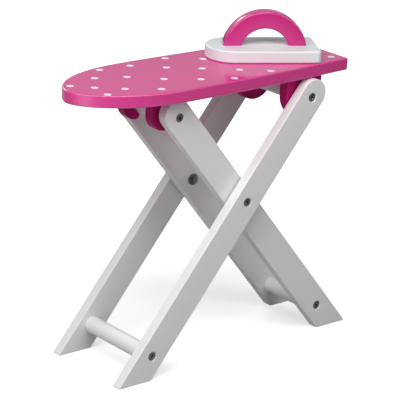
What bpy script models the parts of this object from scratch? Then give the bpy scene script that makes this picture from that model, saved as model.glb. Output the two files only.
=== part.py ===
"""Doll's ironing board: a shaped board on folding crossed legs, with a toy iron lying on it.

Metres, +Z up, floor at z = 0. The nose of the board points to -X. "left" pieces are on the
-Y side and "right" pieces on the +Y side. The middle of the whole object's box is at x = y = 0.
"""
import bmesh
import bpy
from math import asin, atan2, cos, hypot, pi, radians, sin, sqrt, tan
from mathutils import Matrix, Vector

# Clearances
contact_gap = 0.0003
turning_gap = 0.0003
head_clearance = 0.0002
cut_overrun = 0.002
weld_distance = 0.00005

# Board
board_top_height = 0.420
board_thickness = 0.018
hinge_to_nose = 0.3756
hinge_to_tail = 0.0768
board_widest_half = 0.0813
nose_to_widest = 0.1515
tail_narrowing = 0.0126
nose_bluntness = 0.021
nose_side_pull = 0.113
tail_side_pull = 0.146
widest_to_taper_pull = 0.044
tail_side_slope = 0.085
tail_corner_radius = 0.0028
board_edge_radius = 0.0022

# Brackets under the board
bracket_radius = 0.033
bracket_thickness = 0.016
bracket_edge_radius = 0.0012
hook_arc_radius = 0.022
hook_tip_radius = 0.0055
hook_tip_angle = radians(239)
hook_seat_clearance = 0.001
hook_jaw_corner_radius = 0.004

# Legs
leg_width = 0.044
leg_thickness = 0.016
leg_edge_radius = 0.0012
toe_corner_radius = 0.0015
heel_corner_radius = 0.006
frame_inset = 0.0009
layer_gap = 0.003
hook_bracket_gap = 0.005

# Frame linkage
pivot_drop = 0.028
hook_to_hinge = 0.2266
upper_arm = 0.1786
stretcher_height = 0.037
dowel_radius = 0.0125

# Wood screws that hold the dowels between the legs
screw_head_radius = 0.0058
screw_head_height = 0.004
screw_head_sink = 0.001
screw_head_round = 0.0006
screw_shank_radius = 0.003
screw_bite = 0.024
socket_radius = 0.0029
socket_depth = 0.0025
counterbore_clearance = 0.0007
pilot_extra_depth = 0.002

# Bolts, sleeve nuts and spacers at the crossing
nut_flange_radius = 0.0085
nut_flange_thickness = 0.002
nut_flange_round = 0.0007
nut_barrel_radius = 0.0048
nut_barrel_length = 0.0125
nut_socket_radius = 0.0036
nut_socket_depth = 0.0022
bolt_bite = 0.009
spacer_radius = 0.009

# Glued pins between the brackets and the board
pin_radius = 0.004
pin_board_depth = 0.010
pin_bracket_depth = 0.010
pin_spread = 0.019

# Iron
iron_length = 0.1635
iron_width = 0.0865
iron_base_thickness = 0.0175
iron_nose_length = 0.042
iron_tail_corner_radius = 0.006
iron_edge_radius = 0.002
iron_yaw = radians(149.5)
iron_from_hinge = -0.028
iron_from_middle = 0.0055
handle_outer_radius = 0.062
handle_inner_radius = 0.0363
handle_centre_drop = 0.0115
handle_thickness = 0.0215
handle_setback = 0.0042
handle_edge_radius = 0.0032
iron_screw_head_radius = 0.0042
iron_screw_head_height = 0.003
iron_screw_shank_radius = 0.002
iron_screw_bite = 0.012
iron_screw_sink = 0.002
iron_screw_socket_radius = 0.0021
iron_screw_socket_depth = 0.0012

# Facets
round_facets = 32
small_facets = 18
arc_steps = 11
corner_steps = 4
small_corner_radius = 0.008
nose_steps = 20
side_steps = 10
edge_segments = 2

# Colours, roughness and metallic values
pink = (0.68, 0.075, 0.33, 1.0)
dark_pink = (0.56, 0.045, 0.24, 1.0)
white = (0.82, 0.81, 0.80, 1.0)
steel = (0.30, 0.29, 0.28, 1.0)
dark_steel = (0.16, 0.15, 0.15, 1.0)
beech = (0.62, 0.43, 0.25, 1.0)
grey_plastic = (0.35, 0.35, 0.36, 1.0)

# Places worked out from the sizes above
tail_half_width = board_widest_half - tail_narrowing
frame_half_width = board_widest_half - frame_inset
lean = asin(hook_to_hinge / 2 / upper_arm)
board_underside = board_top_height - board_thickness
pivot_height = board_underside - pivot_drop
crossing_height = pivot_height - upper_arm * cos(lean)
pivot_to_stretcher = (pivot_height - stretcher_height) / cos(lean)
leg_head_rise = pivot_drop - head_clearance - leg_width / 2
toe_angle = pi / 2 - lean
toe_round_back = toe_corner_radius * (1 / tan(toe_angle / 2) - 1)
toe_reach = pivot_height * tan(lean) + leg_width / 2 / cos(lean) - toe_round_back
object_front = -hinge_to_nose
object_rear = max(hinge_to_tail, toe_reach - hook_to_hinge)
hinge_x = -(object_front + object_rear) / 2
hook_x = hinge_x - hook_to_hinge
crossing_x = hinge_x - hook_to_hinge / 2
outer_leg_y = frame_half_width - leg_thickness / 2
inner_leg_y = outer_leg_y - leg_thickness - layer_gap
rear_bracket_y = outer_leg_y - leg_thickness / 2 - layer_gap - bracket_thickness / 2
front_bracket_y = inner_leg_y - leg_thickness / 2 - hook_bracket_gap - bracket_thickness / 2
outer_dowel_length = 2 * (outer_leg_y - leg_thickness / 2 - contact_gap)
inner_dowel_length = 2 * (inner_leg_y - leg_thickness / 2 - contact_gap)
hook_seat_radius = dowel_radius + hook_seat_clearance
counterbore_radius = screw_head_radius + counterbore_clearance
counterbore_depth = screw_head_sink + screw_head_height + contact_gap
iron_rest_height = board_top_height + contact_gap


def clear_scene():
    """Remove every object that the scene holds."""
    for item in list(bpy.data.objects):
        bpy.data.objects.remove(item, do_unlink=True)


def new_collection(name):
    """Add a collection under the scene's own."""
    group = bpy.data.collections.new(name)
    bpy.context.scene.collection.children.link(group)
    return group


def new_material(name, colour, roughness, metallic):
    """Make a Principled BSDF material."""
    made = bpy.data.materials.new(name)
    made.use_nodes = True
    shader = made.node_tree.nodes["Principled BSDF"]
    shader.inputs["Base Color"].default_value = colour
    shader.inputs["Roughness"].default_value = roughness
    shader.inputs["Metallic"].default_value = metallic
    made.diffuse_color = colour
    return made


def new_empty(name, group, location, rotation, parent=None):
    """Add an empty that carries pieces."""
    empty = bpy.data.objects.new(name, None)
    empty.empty_display_size = leg_width
    empty.location = location
    empty.rotation_euler = rotation
    empty.parent = parent
    group.objects.link(empty)
    return empty


def new_object(name, mesh, group, look, parent=None, location=(0, 0, 0), rotation=(0, 0, 0)):
    """Add a mesh object with its own copy of a material."""
    item = bpy.data.objects.new(name, mesh)
    item.location = location
    item.rotation_euler = rotation
    item.parent = parent
    if look is not None:
        mesh.materials.append(new_material(name, *look))
    group.objects.link(item)
    return item


def arc_points(centre_x, centre_y, radius, start, end, steps):
    """Points of an arc, both ends included."""
    points = []
    for step in range(steps + 1):
        angle = start + (end - start) * step / steps
        points.append((centre_x + radius * cos(angle), centre_y + radius * sin(angle)))
    return points


def bezier_points(start, start_pull, end_pull, end, steps):
    """Points of a cubic curve, without its first point."""
    points = []
    for step in range(1, steps + 1):
        t = step / steps
        s = 1 - t
        parts = ((s ** 3, start), (3 * s * s * t, start_pull), (3 * s * t * t, end_pull), (t ** 3, end))
        points.append((sum(w * p[0] for w, p in parts), sum(w * p[1] for w, p in parts)))
    return points


def rounded_outline(corners):
    """Points of a closed outline; each corner is (x, y, fillet radius)."""
    points = []
    count = len(corners)
    for index, (x, y, radius) in enumerate(corners):
        if radius == 0:
            points.append((x, y))
            continue
        here = Vector((x, y))
        before = (Vector(corners[index - 1][:2]) - here).normalized()
        after = (Vector(corners[(index + 1) % count][:2]) - here).normalized()
        half_angle = before.angle(after) / 2
        centre = here + (before + after).normalized() * (radius / sin(half_angle))
        first = here + before * (radius / tan(half_angle)) - centre
        last = here + after * (radius / tan(half_angle)) - centre
        start = atan2(first.y, first.x)
        sweep = atan2(first.x * last.y - first.y * last.x, first.dot(last))
        steps = arc_steps if radius > small_corner_radius else corner_steps
        points.extend(arc_points(centre.x, centre.y, radius, start, start + sweep, steps))
    return points


def drop_repeats(points):
    """Leave out points that lie on the one before them."""
    kept = []
    for point in points:
        if not kept or hypot(point[0] - kept[-1][0], point[1] - kept[-1][1]) > weld_distance:
            kept.append(point)
    if hypot(kept[0][0] - kept[-1][0], kept[0][1] - kept[-1][1]) <= weld_distance:
        kept.pop()
    return kept


def new_plate(name, outline, thickness, group, look, parent, location, rotation, edge_radius=0):
    """A flat outline given a thickness, with its rims rounded."""
    outline = drop_repeats(outline)
    curve = bpy.data.curves.new(name, "CURVE")
    curve.dimensions = "2D"
    curve.fill_mode = "BOTH"
    curve.extrude = thickness / 2
    spline = curve.splines.new("POLY")
    spline.points.add(len(outline) - 1)
    for point, place in zip(spline.points, outline):
        point.co = (place[0], place[1], 0, 1)
    spline.use_cyclic_u = True
    drawn = bpy.data.objects.new(name + "_outline", curve)
    group.objects.link(drawn)
    depsgraph = bpy.context.evaluated_depsgraph_get()
    mesh = bpy.data.meshes.new_from_object(drawn.evaluated_get(depsgraph))
    bpy.data.objects.remove(drawn, do_unlink=True)
    mesh.name = name
    welded = bmesh.new()
    welded.from_mesh(mesh)
    bmesh.ops.remove_doubles(welded, verts=welded.verts, dist=weld_distance)
    bmesh.ops.recalc_face_normals(welded, faces=welded.faces)
    inside_caps = [
        edge for edge in welded.edges if all(abs(face.normal.z) > 0.5 for face in edge.link_faces)
    ]
    bmesh.ops.dissolve_edges(welded, edges=inside_caps, use_verts=False)
    welded.to_mesh(mesh)
    welded.free()
    plate = new_object(name, mesh, group, look, parent, location, rotation)
    if edge_radius > 0:
        bevel = plate.modifiers.new("rims", "BEVEL")
        bevel.width = edge_radius
        bevel.segments = edge_segments
        bevel.limit_method = "ANGLE"
        bevel.angle_limit = radians(60)
        bevel.use_clamp_overlap = False
    return plate


def cylinder_mesh(name, radius, length, facets):
    """A closed cylinder along Z, centred on its origin."""
    mesh = bpy.data.meshes.new(name)
    built = bmesh.new()
    bmesh.ops.create_cone(
        built, cap_ends=True, segments=facets, radius1=radius, radius2=radius, depth=length
    )
    built.to_mesh(mesh)
    built.free()
    return mesh


def box_mesh(name, size):
    """A closed box centred on its origin."""
    mesh = bpy.data.meshes.new(name)
    built = bmesh.new()
    bmesh.ops.create_cube(built, size=1, matrix=Matrix.Diagonal((*size, 1)))
    built.to_mesh(mesh)
    built.free()
    return mesh


def cut(target, cutter_mesh, location, rotation=(0, 0, 0)):
    """Cut a mesh, placed in the target's own axes, out of the target."""
    cutter = new_object(cutter_mesh.name, cutter_mesh, cutters, None, target, location, rotation)
    cutter.hide_render = True
    cutter.display_type = "WIRE"
    boolean = target.modifiers.new(cutter.name, "BOOLEAN")
    boolean.object = cutter
    boolean.operation = "DIFFERENCE"
    boolean.solver = "EXACT"
    return cutter


def bore(target, name, x, y, low, high, radius, facets=small_facets, turn=0):
    """A round hole along the target's own Z, from low to high."""
    mesh = cylinder_mesh(target.name + "_" + name, radius, high - low, facets)
    cut(target, mesh, (x, y, (low + high) / 2), (0, 0, turn))


def shade_smooth(item, angle):
    """Smooth shading that keeps edges sharper than the angle."""
    for face in item.data.polygons:
        face.use_smooth = True
    item.data.set_sharp_from_angle(angle=angle)


def new_turned(name, profile, facets, look, parent, location, rotation):
    """A solid turned about its own Z; the profile runs down its outer side from the axis."""
    mesh = bpy.data.meshes.new(name)
    edges = [(index, index + 1) for index in range(len(profile) - 1)]
    mesh.from_pydata([(radius, 0, height) for radius, height in profile], edges, [])
    item = new_object(name, mesh, parts, look, parent, location, rotation)
    screw = item.modifiers.new("turn", "SCREW")
    screw.axis = "Z"
    screw.angle = 2 * pi
    screw.steps = facets
    screw.render_steps = facets
    screw.use_merge_vertices = True
    screw.merge_threshold = weld_distance
    screw.use_normal_calculate = True
    return item


def new_dowel(name, radius, length, facets, look, parent, location, rotation):
    """A plain round rod."""
    mesh = cylinder_mesh(name, radius, length, facets)
    item = new_object(name, mesh, parts, look, parent, location, rotation)
    shade_smooth(item, radians(40))
    return item


def facing(side):
    """Turn that points a piece's own +Z to -Y for side -1, and to +Y for side 1."""
    return (-side * pi / 2, 0, 0)


def board_outline():
    """Half of the board's plan, from nose to tail, and its mirror image."""
    nose = (-hinge_to_nose, 0)
    widest = (-hinge_to_nose + nose_to_widest, board_widest_half)
    corner = (hinge_to_tail, tail_half_width)
    side = bezier_points(
        nose, (nose[0], nose_bluntness), (widest[0] - nose_side_pull, widest[1]), widest, nose_steps
    )
    side += bezier_points(
        widest,
        (widest[0] + widest_to_taper_pull, widest[1]),
        (corner[0] - tail_side_pull, corner[1] + tail_side_pull * tail_side_slope),
        corner,
        side_steps,
    )
    before = side[-2]
    rounded = rounded_outline(
        [(*before, 0), (*corner, tail_corner_radius), (corner[0], -corner[1], 0)]
    )
    half = side[:-1] + rounded[1:-1]
    mirrored = [(x, -y) for x, y in reversed(half)]
    return [nose] + half + mirrored


def leg_outline(side):
    """A leg in its own plane, its pivot at the origin and its foot cut level with the floor.

    side is 1 for a leg whose toe lies towards its own -X, and -1 for the mirrored leg.
    """
    half = leg_width / 2
    foot = -pivot_height / cos(lean)
    toe = foot - half * tan(lean)
    heel = foot + half * tan(lean)
    top = leg_head_rise + half
    corners = [
        (-half, toe, toe_corner_radius),
        (half, heel, heel_corner_radius),
        (half, top, half),
        (-half, top, half),
    ]
    return [(side * x, y) for x, y in rounded_outline(corners)]


def round_bracket_outline():
    """A straight top and a half round below, about the pivot at the origin."""
    top = pivot_drop - contact_gap
    corners = [
        (-bracket_radius, top, 0),
        (-bracket_radius, -bracket_radius, bracket_radius),
        (bracket_radius, -bracket_radius, bracket_radius),
        (bracket_radius, top, 0),
    ]
    return rounded_outline(corners)


def hook_bracket_outline():
    """A hook about the pivot at the origin, its mouth open towards +X."""
    top = pivot_drop - contact_gap
    tip_reach = hook_seat_radius + hook_tip_radius
    tip = Vector((tip_reach * cos(hook_tip_angle), tip_reach * sin(hook_tip_angle)))
    arc_x = hook_arc_radius - bracket_radius
    arc_z = tip.y + sqrt((hook_arc_radius - hook_tip_radius) ** 2 - (tip.x - arc_x) ** 2)
    leave = atan2(tip.y - arc_z, tip.x - arc_x) + 2 * pi
    meet = hook_tip_angle - pi + 2 * pi
    points = [(-bracket_radius, top)]
    points += arc_points(arc_x, arc_z, hook_arc_radius, pi, leave, arc_steps)
    points += arc_points(tip.x, tip.y, hook_tip_radius, leave, meet, arc_steps // 2)
    points += arc_points(0, 0, hook_seat_radius, hook_tip_angle, pi / 2, arc_steps)
    jaw = rounded_outline(
        [
            (0, hook_seat_radius, 0),
            (bracket_radius, hook_seat_radius, hook_jaw_corner_radius),
            (bracket_radius, top, 0),
        ]
    )
    return points + jaw[1:]


def iron_outline():
    """The iron's plan: square tail towards -X, long rounded nose towards +X."""
    tail = -iron_length / 2
    half = iron_width / 2
    nose_start = iron_length / 2 - iron_nose_length
    points = rounded_outline(
        [
            (nose_start, half, 0),
            (tail, half, iron_tail_corner_radius),
            (tail, -half, iron_tail_corner_radius),
            (nose_start, -half, 0),
        ]
    )
    for step in range(1, 2 * arc_steps):
        angle = -pi / 2 + pi * step / (2 * arc_steps)
        points.append((nose_start + iron_nose_length * cos(angle), half * sin(angle)))
    return points


def handle_outline():
    """A part ring about its centre, long enough at its feet to be cut level."""
    low = handle_centre_drop - handle_edge_radius - cut_overrun
    outer = asin(low / handle_outer_radius)
    inner = asin(low / handle_inner_radius)
    points = arc_points(0, 0, handle_outer_radius, outer, pi - outer, 2 * arc_steps)
    points += arc_points(0, 0, handle_inner_radius, pi - inner, inner, 2 * arc_steps)
    return points


def fastener_profile(head_radius, head_height, head_round, shank_radius, shank_length):
    """Head and shank, the head's underside at z = 0."""
    return [
        (0, head_height),
        (head_radius - head_round, head_height),
        (head_radius, head_height - head_round),
        (head_radius, 0),
        (shank_radius, 0),
        (shank_radius, shank_radius - shank_length),
        (0, -shank_length),
    ]


def socket(item, radius, depth, face_height):
    """A six-sided socket in a fastener's end face."""
    low = face_height - depth
    bore(item, "socket", 0, 0, low, face_height + cut_overrun, radius, 6)


def add_socket_screw(name, parent, x, z, face_y, side, shank_length):
    """A recessed socket screw whose head lies under a leg's outer face."""
    seat = side * (face_y - counterbore_depth + contact_gap)
    profile = fastener_profile(
        screw_head_radius, screw_head_height, screw_head_round, screw_shank_radius, shank_length
    )
    look = (dark_steel, 0.35, 1.0)
    item = new_turned(name, profile, small_facets, look, parent, (x, seat, z), facing(side))
    socket(item, socket_radius, socket_depth, screw_head_height)
    return item


def add_leg(name, parent, pivot_z, y, side, mirror):
    """A leg with counterbored holes at its dowels; side is the way its outer face looks."""
    look = (white, 0.32, 0.0)
    leg = new_plate(
        name, leg_outline(mirror), leg_thickness, parts, look, parent, (0, side * y, pivot_z),
        facing(-1), leg_edge_radius,
    )
    outward = -side
    for place, height in (("top", 0), ("bottom", -pivot_to_stretcher)):
        leg_hole(leg, place, height, outward)
    return leg


def leg_hole(leg, name, height, outward, sunk=True):
    """A screw's hole through a leg, with room for its head in the outer face."""
    half = leg_thickness / 2
    hole_radius = screw_shank_radius + turning_gap
    bore(leg, name + "_hole", 0, height, -half - cut_overrun, half + cut_overrun, hole_radius)
    if sunk:
        ends = sorted((outward * (half + cut_overrun), outward * (half - counterbore_depth)))
        bore(leg, name + "_counterbore", 0, height, *ends, counterbore_radius)


def add_frame_dowel(name, parent, z, length, shank_length):
    """A round rod between two legs, with a pilot hole in each end."""
    look = (white, 0.32, 0.0)
    dowel = new_dowel(
        name, dowel_radius, length, round_facets, look, parent, (0, 0, z), facing(-1)
    )
    depth = shank_length - (leg_thickness - counterbore_depth) + pilot_extra_depth
    for side, end in ((-1, "left"), (1, "right")):
        ends = sorted((side * (length / 2 + cut_overrun), side * (length / 2 - depth)))
        bore(dowel, end + "_pilot", 0, 0, *ends, screw_shank_radius + turning_gap)
    return dowel


def add_frame(prefix, parent, top_z, leg_y, dowel_length, mirror):
    """Two legs, the dowels between them and the screws that hold those."""
    shank_length = leg_thickness - counterbore_depth + screw_bite
    legs = []
    for side, hand in ((-1, "left"), (1, "right")):
        legs.append(add_leg(f"{prefix}_leg_{hand}", parent, top_z, leg_y, side, mirror))
        face = leg_y + leg_thickness / 2
        for place, drop in (("top", 0), ("bottom", pivot_to_stretcher)):
            name = f"{prefix}_{place}_screw_{hand}"
            add_socket_screw(name, parent, 0, top_z - drop, face, side, shank_length)
    for place, drop in (("top", 0), ("bottom", pivot_to_stretcher)):
        add_frame_dowel(f"{prefix}_{place}_dowel", parent, top_z - drop, dowel_length, shank_length)
    return legs


def add_crossing(outer, inner, outer_legs, inner_legs):
    """Bolt, spacer and sleeve nut where the legs cross, on both sides."""
    half = leg_thickness / 2
    shank_length = leg_thickness - counterbore_depth + layer_gap + bolt_bite
    for side, hand, outer_leg, inner_leg in zip((-1, 1), ("left", "right"), outer_legs, inner_legs):
        leg_hole(outer_leg, "crossing", -upper_arm, -side)
        bore(
            inner_leg, "crossing_hole", 0, -upper_arm, -half - cut_overrun, half + cut_overrun,
            nut_barrel_radius + turning_gap,
        )
        face = outer_leg_y + half
        add_socket_screw(
            f"crossing_bolt_{hand}", outer, 0, -upper_arm, face, side, shank_length
        )
        add_spacer(f"crossing_spacer_{hand}", outer, side * (outer_leg_y - half - layer_gap / 2), side)
        add_sleeve_nut(f"crossing_nut_{hand}", inner, side * (inner_leg_y - half - contact_gap), side)


def add_spacer(name, parent, y, side):
    """A washer that keeps the crossed legs apart."""
    inner_radius = screw_shank_radius + turning_gap
    half = layer_gap / 2 - contact_gap
    mesh = cylinder_mesh(name, spacer_radius, 2 * half, round_facets)
    look = (grey_plastic, 0.45, 0.0)
    spacer = new_object(name, mesh, parts, look, parent, (0, y, -upper_arm), facing(side))
    bore(spacer, "eye", 0, 0, -half - cut_overrun, half + cut_overrun, inner_radius)
    shade_smooth(spacer, radians(40))
    return spacer


def add_sleeve_nut(name, parent, y, side):
    """A flanged nut sunk in the inner leg, its flange on the leg's inner face."""
    flange = nut_flange_thickness
    profile = [
        (0, flange),
        (nut_flange_radius - nut_flange_round, flange),
        (nut_flange_radius, flange - nut_flange_round),
        (nut_flange_radius, 0),
        (nut_barrel_radius, 0),
        (nut_barrel_radius, -nut_barrel_length),
        (0, -nut_barrel_length),
    ]
    look = (steel, 0.3, 1.0)
    nut = new_turned(name, profile, round_facets, look, parent, (0, y, 0), facing(-side))
    socket(nut, nut_socket_radius, nut_socket_depth, flange)
    low = -nut_barrel_length - cut_overrun
    bore(nut, "thread", 0, 0, low, -contact_gap, screw_shank_radius + turning_gap)
    return nut


def add_bracket(name, parent, x, y, outline, side, hole_radius):
    """A bracket under the board, with its two glued pins."""
    look = (dark_pink, 0.35, 0.0)
    bracket = new_plate(
        name, outline, bracket_thickness, parts, look, parent, (x, side * y, pivot_height),
        facing(-1), bracket_edge_radius,
    )
    half = bracket_thickness / 2
    if hole_radius > 0:
        bore(bracket, "eye", 0, 0, -half - cut_overrun, half + cut_overrun, hole_radius, round_facets)
    for along, word in ((-pin_spread, "front"), (pin_spread, "rear")):
        top = pivot_drop - contact_gap
        depth = pin_bracket_depth + contact_gap
        hole = cylinder_mesh(
            f"{name}_{word}_pin_hole", pin_radius + turning_gap, depth + cut_overrun, small_facets
        )
        middle = top + (cut_overrun - depth) / 2
        cut(bracket, hole, (along, middle, 0), (pi / 2, 0, 0))
        pin_length = pin_bracket_depth + pin_board_depth
        centre = board_underside + (pin_board_depth - pin_bracket_depth) / 2
        pin = new_dowel(
            f"{name}_{word}_pin", pin_radius, pin_length, small_facets, (beech, 0.6, 0.0),
            parent, (x + along, side * y, centre), (0, 0, 0),
        )
        pins.append(pin)
    return bracket


def add_board(parent):
    """The board, with blind holes for the brackets' pins."""
    look = (pink, 0.18, 0.0)
    middle = board_underside + board_thickness / 2
    board = new_plate(
        "board", board_outline(), board_thickness, parts, look, parent, (hinge_x, 0, middle),
        (0, 0, 0), board_edge_radius,
    )
    low = -board_thickness / 2
    high = low + pin_board_depth + contact_gap
    for pin in pins:
        place = (pin.location.x - hinge_x, pin.location.y)
        bore(board, pin.name + "_hole", *place, low - cut_overrun, high, pin_radius + turning_gap)
    return board


def add_iron(parent):
    """The iron: a thick base, a part-ring handle and the two screws between them."""
    base = new_plate(
        "iron_base", iron_outline(), iron_base_thickness, parts, (white, 0.3, 0.0), parent,
        (0, 0, iron_base_thickness / 2), (0, 0, 0), iron_edge_radius,
    )
    centre_z = iron_base_thickness - handle_centre_drop
    handle = new_plate(
        "iron_handle", handle_outline(), handle_thickness, parts, (pink, 0.22, 0.0), parent,
        (-handle_setback, 0, centre_z), facing(-1), handle_edge_radius,
    )
    foot = handle_centre_drop + contact_gap
    block = box_mesh(
        "iron_handle_foot_cut", (3 * handle_outer_radius, handle_centre_drop, 2 * handle_thickness)
    )
    cut(handle, block, (0, foot - handle_centre_drop / 2, 0))
    outer_foot = sqrt(handle_outer_radius ** 2 - handle_centre_drop ** 2)
    inner_foot = sqrt(handle_inner_radius ** 2 - handle_centre_drop ** 2)
    foot_middle = (outer_foot + inner_foot) / 2
    for along, word in ((-foot_middle, "rear"), (foot_middle, "front")):
        add_iron_screw(base, handle, parent, along, word)


def add_iron_screw(base, handle, parent, along, word):
    """A screw from under the iron's base up into a foot of the handle."""
    x = along - handle_setback
    half = iron_base_thickness / 2
    seat = iron_screw_sink + iron_screw_head_height
    hole_radius = iron_screw_shank_radius + turning_gap
    head_room = iron_screw_head_radius + counterbore_clearance
    bore(base, word + "_hole", x, 0, -half - cut_overrun, half + cut_overrun, hole_radius)
    bore(base, word + "_counterbore", x, 0, -half - cut_overrun, seat - half, head_room)
    shank_length = iron_base_thickness - seat + iron_screw_bite
    foot = handle_centre_drop
    pilot = cylinder_mesh(
        f"iron_handle_{word}_pilot", hole_radius, iron_screw_bite + 2 * pilot_extra_depth, small_facets
    )
    cut(handle, pilot, (along, foot + iron_screw_bite / 2, 0), (pi / 2, 0, 0))
    profile = fastener_profile(
        iron_screw_head_radius, iron_screw_head_height, screw_head_round, iron_screw_shank_radius,
        shank_length,
    )
    screw = new_turned(
        f"iron_screw_{word}", profile, small_facets, (steel, 0.35, 1.0), parent,
        (x, 0, seat - contact_gap), (pi, 0, 0),
    )
    socket(screw, iron_screw_socket_radius, iron_screw_socket_depth, iron_screw_head_height)


clear_scene()
parts = new_collection("doll_ironing_board")
cutters = new_collection("cutters")
cutters.hide_render = True
pins = []

hinge_axis = new_empty("hinge_axis", parts, (hinge_x, 0, pivot_height), (0, lean, 0))
crossing_axis = new_empty("crossing_axis", parts, (crossing_x, 0, crossing_height), (0, -lean, 0))
iron_place = new_empty(
    "iron_place", parts, (hinge_x + iron_from_hinge, iron_from_middle, iron_rest_height),
    (0, 0, iron_yaw),
)

for hand_side, hand_word in ((-1, "left"), (1, "right")):
    add_bracket(
        f"front_bracket_{hand_word}", None, hook_x, front_bracket_y, hook_bracket_outline(), hand_side, 0
    )
    add_bracket(
        f"rear_bracket_{hand_word}", None, hinge_x, rear_bracket_y, round_bracket_outline(), hand_side,
        dowel_radius + turning_gap,
    )
add_board(None)
outer_leg_pair = add_frame("outer", hinge_axis, 0, outer_leg_y, outer_dowel_length, 1)
inner_leg_pair = add_frame("inner", crossing_axis, upper_arm, inner_leg_y, inner_dowel_length, -1)
add_crossing(hinge_axis, crossing_axis, outer_leg_pair, inner_leg_pair)
add_iron(iron_place)
bpy.context.view_layer.update()
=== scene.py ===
"""Dressed model of a doll's ironing board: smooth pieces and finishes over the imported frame.

Metres, +Z up, floor at z = 0, the board's nose towards -X. "left" is the -Y side and "right" the +Y
side. Every piece keeps its place in its own mesh, and its object stays at the origin.
"""
import logging
from dataclasses import dataclass, field
from enum import Enum
from math import asin, atan2, cos, hypot, pi, radians, sin, sqrt, tan

import bmesh
import bpy
from mathutils import Matrix, Vector


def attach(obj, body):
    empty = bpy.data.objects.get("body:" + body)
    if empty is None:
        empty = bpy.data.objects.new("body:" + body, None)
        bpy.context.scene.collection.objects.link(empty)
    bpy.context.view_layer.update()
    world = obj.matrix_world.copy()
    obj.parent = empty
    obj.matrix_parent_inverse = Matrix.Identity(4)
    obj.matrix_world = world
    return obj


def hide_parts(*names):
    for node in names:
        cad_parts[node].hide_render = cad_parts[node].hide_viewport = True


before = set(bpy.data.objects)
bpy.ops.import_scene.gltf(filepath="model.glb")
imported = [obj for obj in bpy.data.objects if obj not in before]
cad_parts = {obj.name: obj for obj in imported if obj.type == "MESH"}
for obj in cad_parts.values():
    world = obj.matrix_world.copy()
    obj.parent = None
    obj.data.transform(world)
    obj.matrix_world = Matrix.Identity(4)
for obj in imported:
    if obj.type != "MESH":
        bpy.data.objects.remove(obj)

logging.basicConfig(level=logging.INFO, format="%(name)s: %(message)s")
log = logging.getLogger("ironing_board")

Point = tuple[float, float]
Outline = list[Point]
Point3 = tuple[float, float, float]
Colour = tuple[float, float, float, float]

# Points of an outline that lie closer than this are one point
WELD = 0.00004
# How far a through hole's cutter stands out of the plate at each end
CUT_PAST = 0.001
# The least that a mitre is divided by, so that a sharp corner doesn't shoot out
LEAST_MITRE = 0.35
# Rise and narrowing of each step of a bar's eased end, as shares of the ease
EASE_STEPS = ((0.62, 0.22), (0.38, 0.62))
# How far a shank's middle lies under its head's seat, as a share of its length
SHANK_SINK = 0.48
SOCKET_SIDES = 6
# Widening of a socket's mouth, as a share of the socket's radius
SOCKET_FLARE = 0.16
# Edges that turn by more than these angles stay sharp
PLATE_CREASE = radians(34)
TURNED_CREASE = radians(38)
DOT_CREASE = radians(60)

RIM_ATTRIBUTE = "rim"
WALL_ATTRIBUTE = "wall"
TURNED_ATTRIBUTE = "turned_radius"
FACING_ATTRIBUTE = "facing"

PINK: Colour = (0.66, 0.018, 0.235, 1.0)
PALE_PINK: Colour = (0.71, 0.06, 0.30, 1.0)
DEEP_PINK: Colour = (0.56, 0.018, 0.200, 1.0)
BRACKET_PINK: Colour = (0.54, 0.012, 0.175, 1.0)
WHITE: Colour = (0.83, 0.815, 0.817, 1.0)
WARM_WHITE: Colour = (0.88, 0.87, 0.868, 1.0)
# Tinted cool as painted light: the tint offsets the pink light that the board bounces onto the iron
IRON_WHITE: Colour = (0.735, 0.795, 0.80, 1.0)
RAW_WOOD: Colour = (0.70, 0.52, 0.38, 1.0)


class Body(Enum):
    """The bodies that pieces ride on."""

    BOARD = "board"
    OUTER = "outer_frame"
    INNER = "inner_frame"
    IRON = "iron"


class Slot(Enum):
    """Names of material slots."""

    BOARD = "board_gloss_pink"
    BRACKET = "bracket_pink"
    LEG = "leg_white"
    SCREW = "screw_steel"
    NUT = "nut_steel"
    SPACER = "spacer_plastic"
    BEECH = "bare_beech"
    IRON = "iron_white"
    HANDLE = "handle_pink"


class Side(Enum):
    """The two sides of the board, with the sign of their Y."""

    LEFT = -1
    RIGHT = 1

    @property
    def word(self) -> str:
        """The side's name as the nodes spell it."""
        return self.name.lower()


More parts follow.
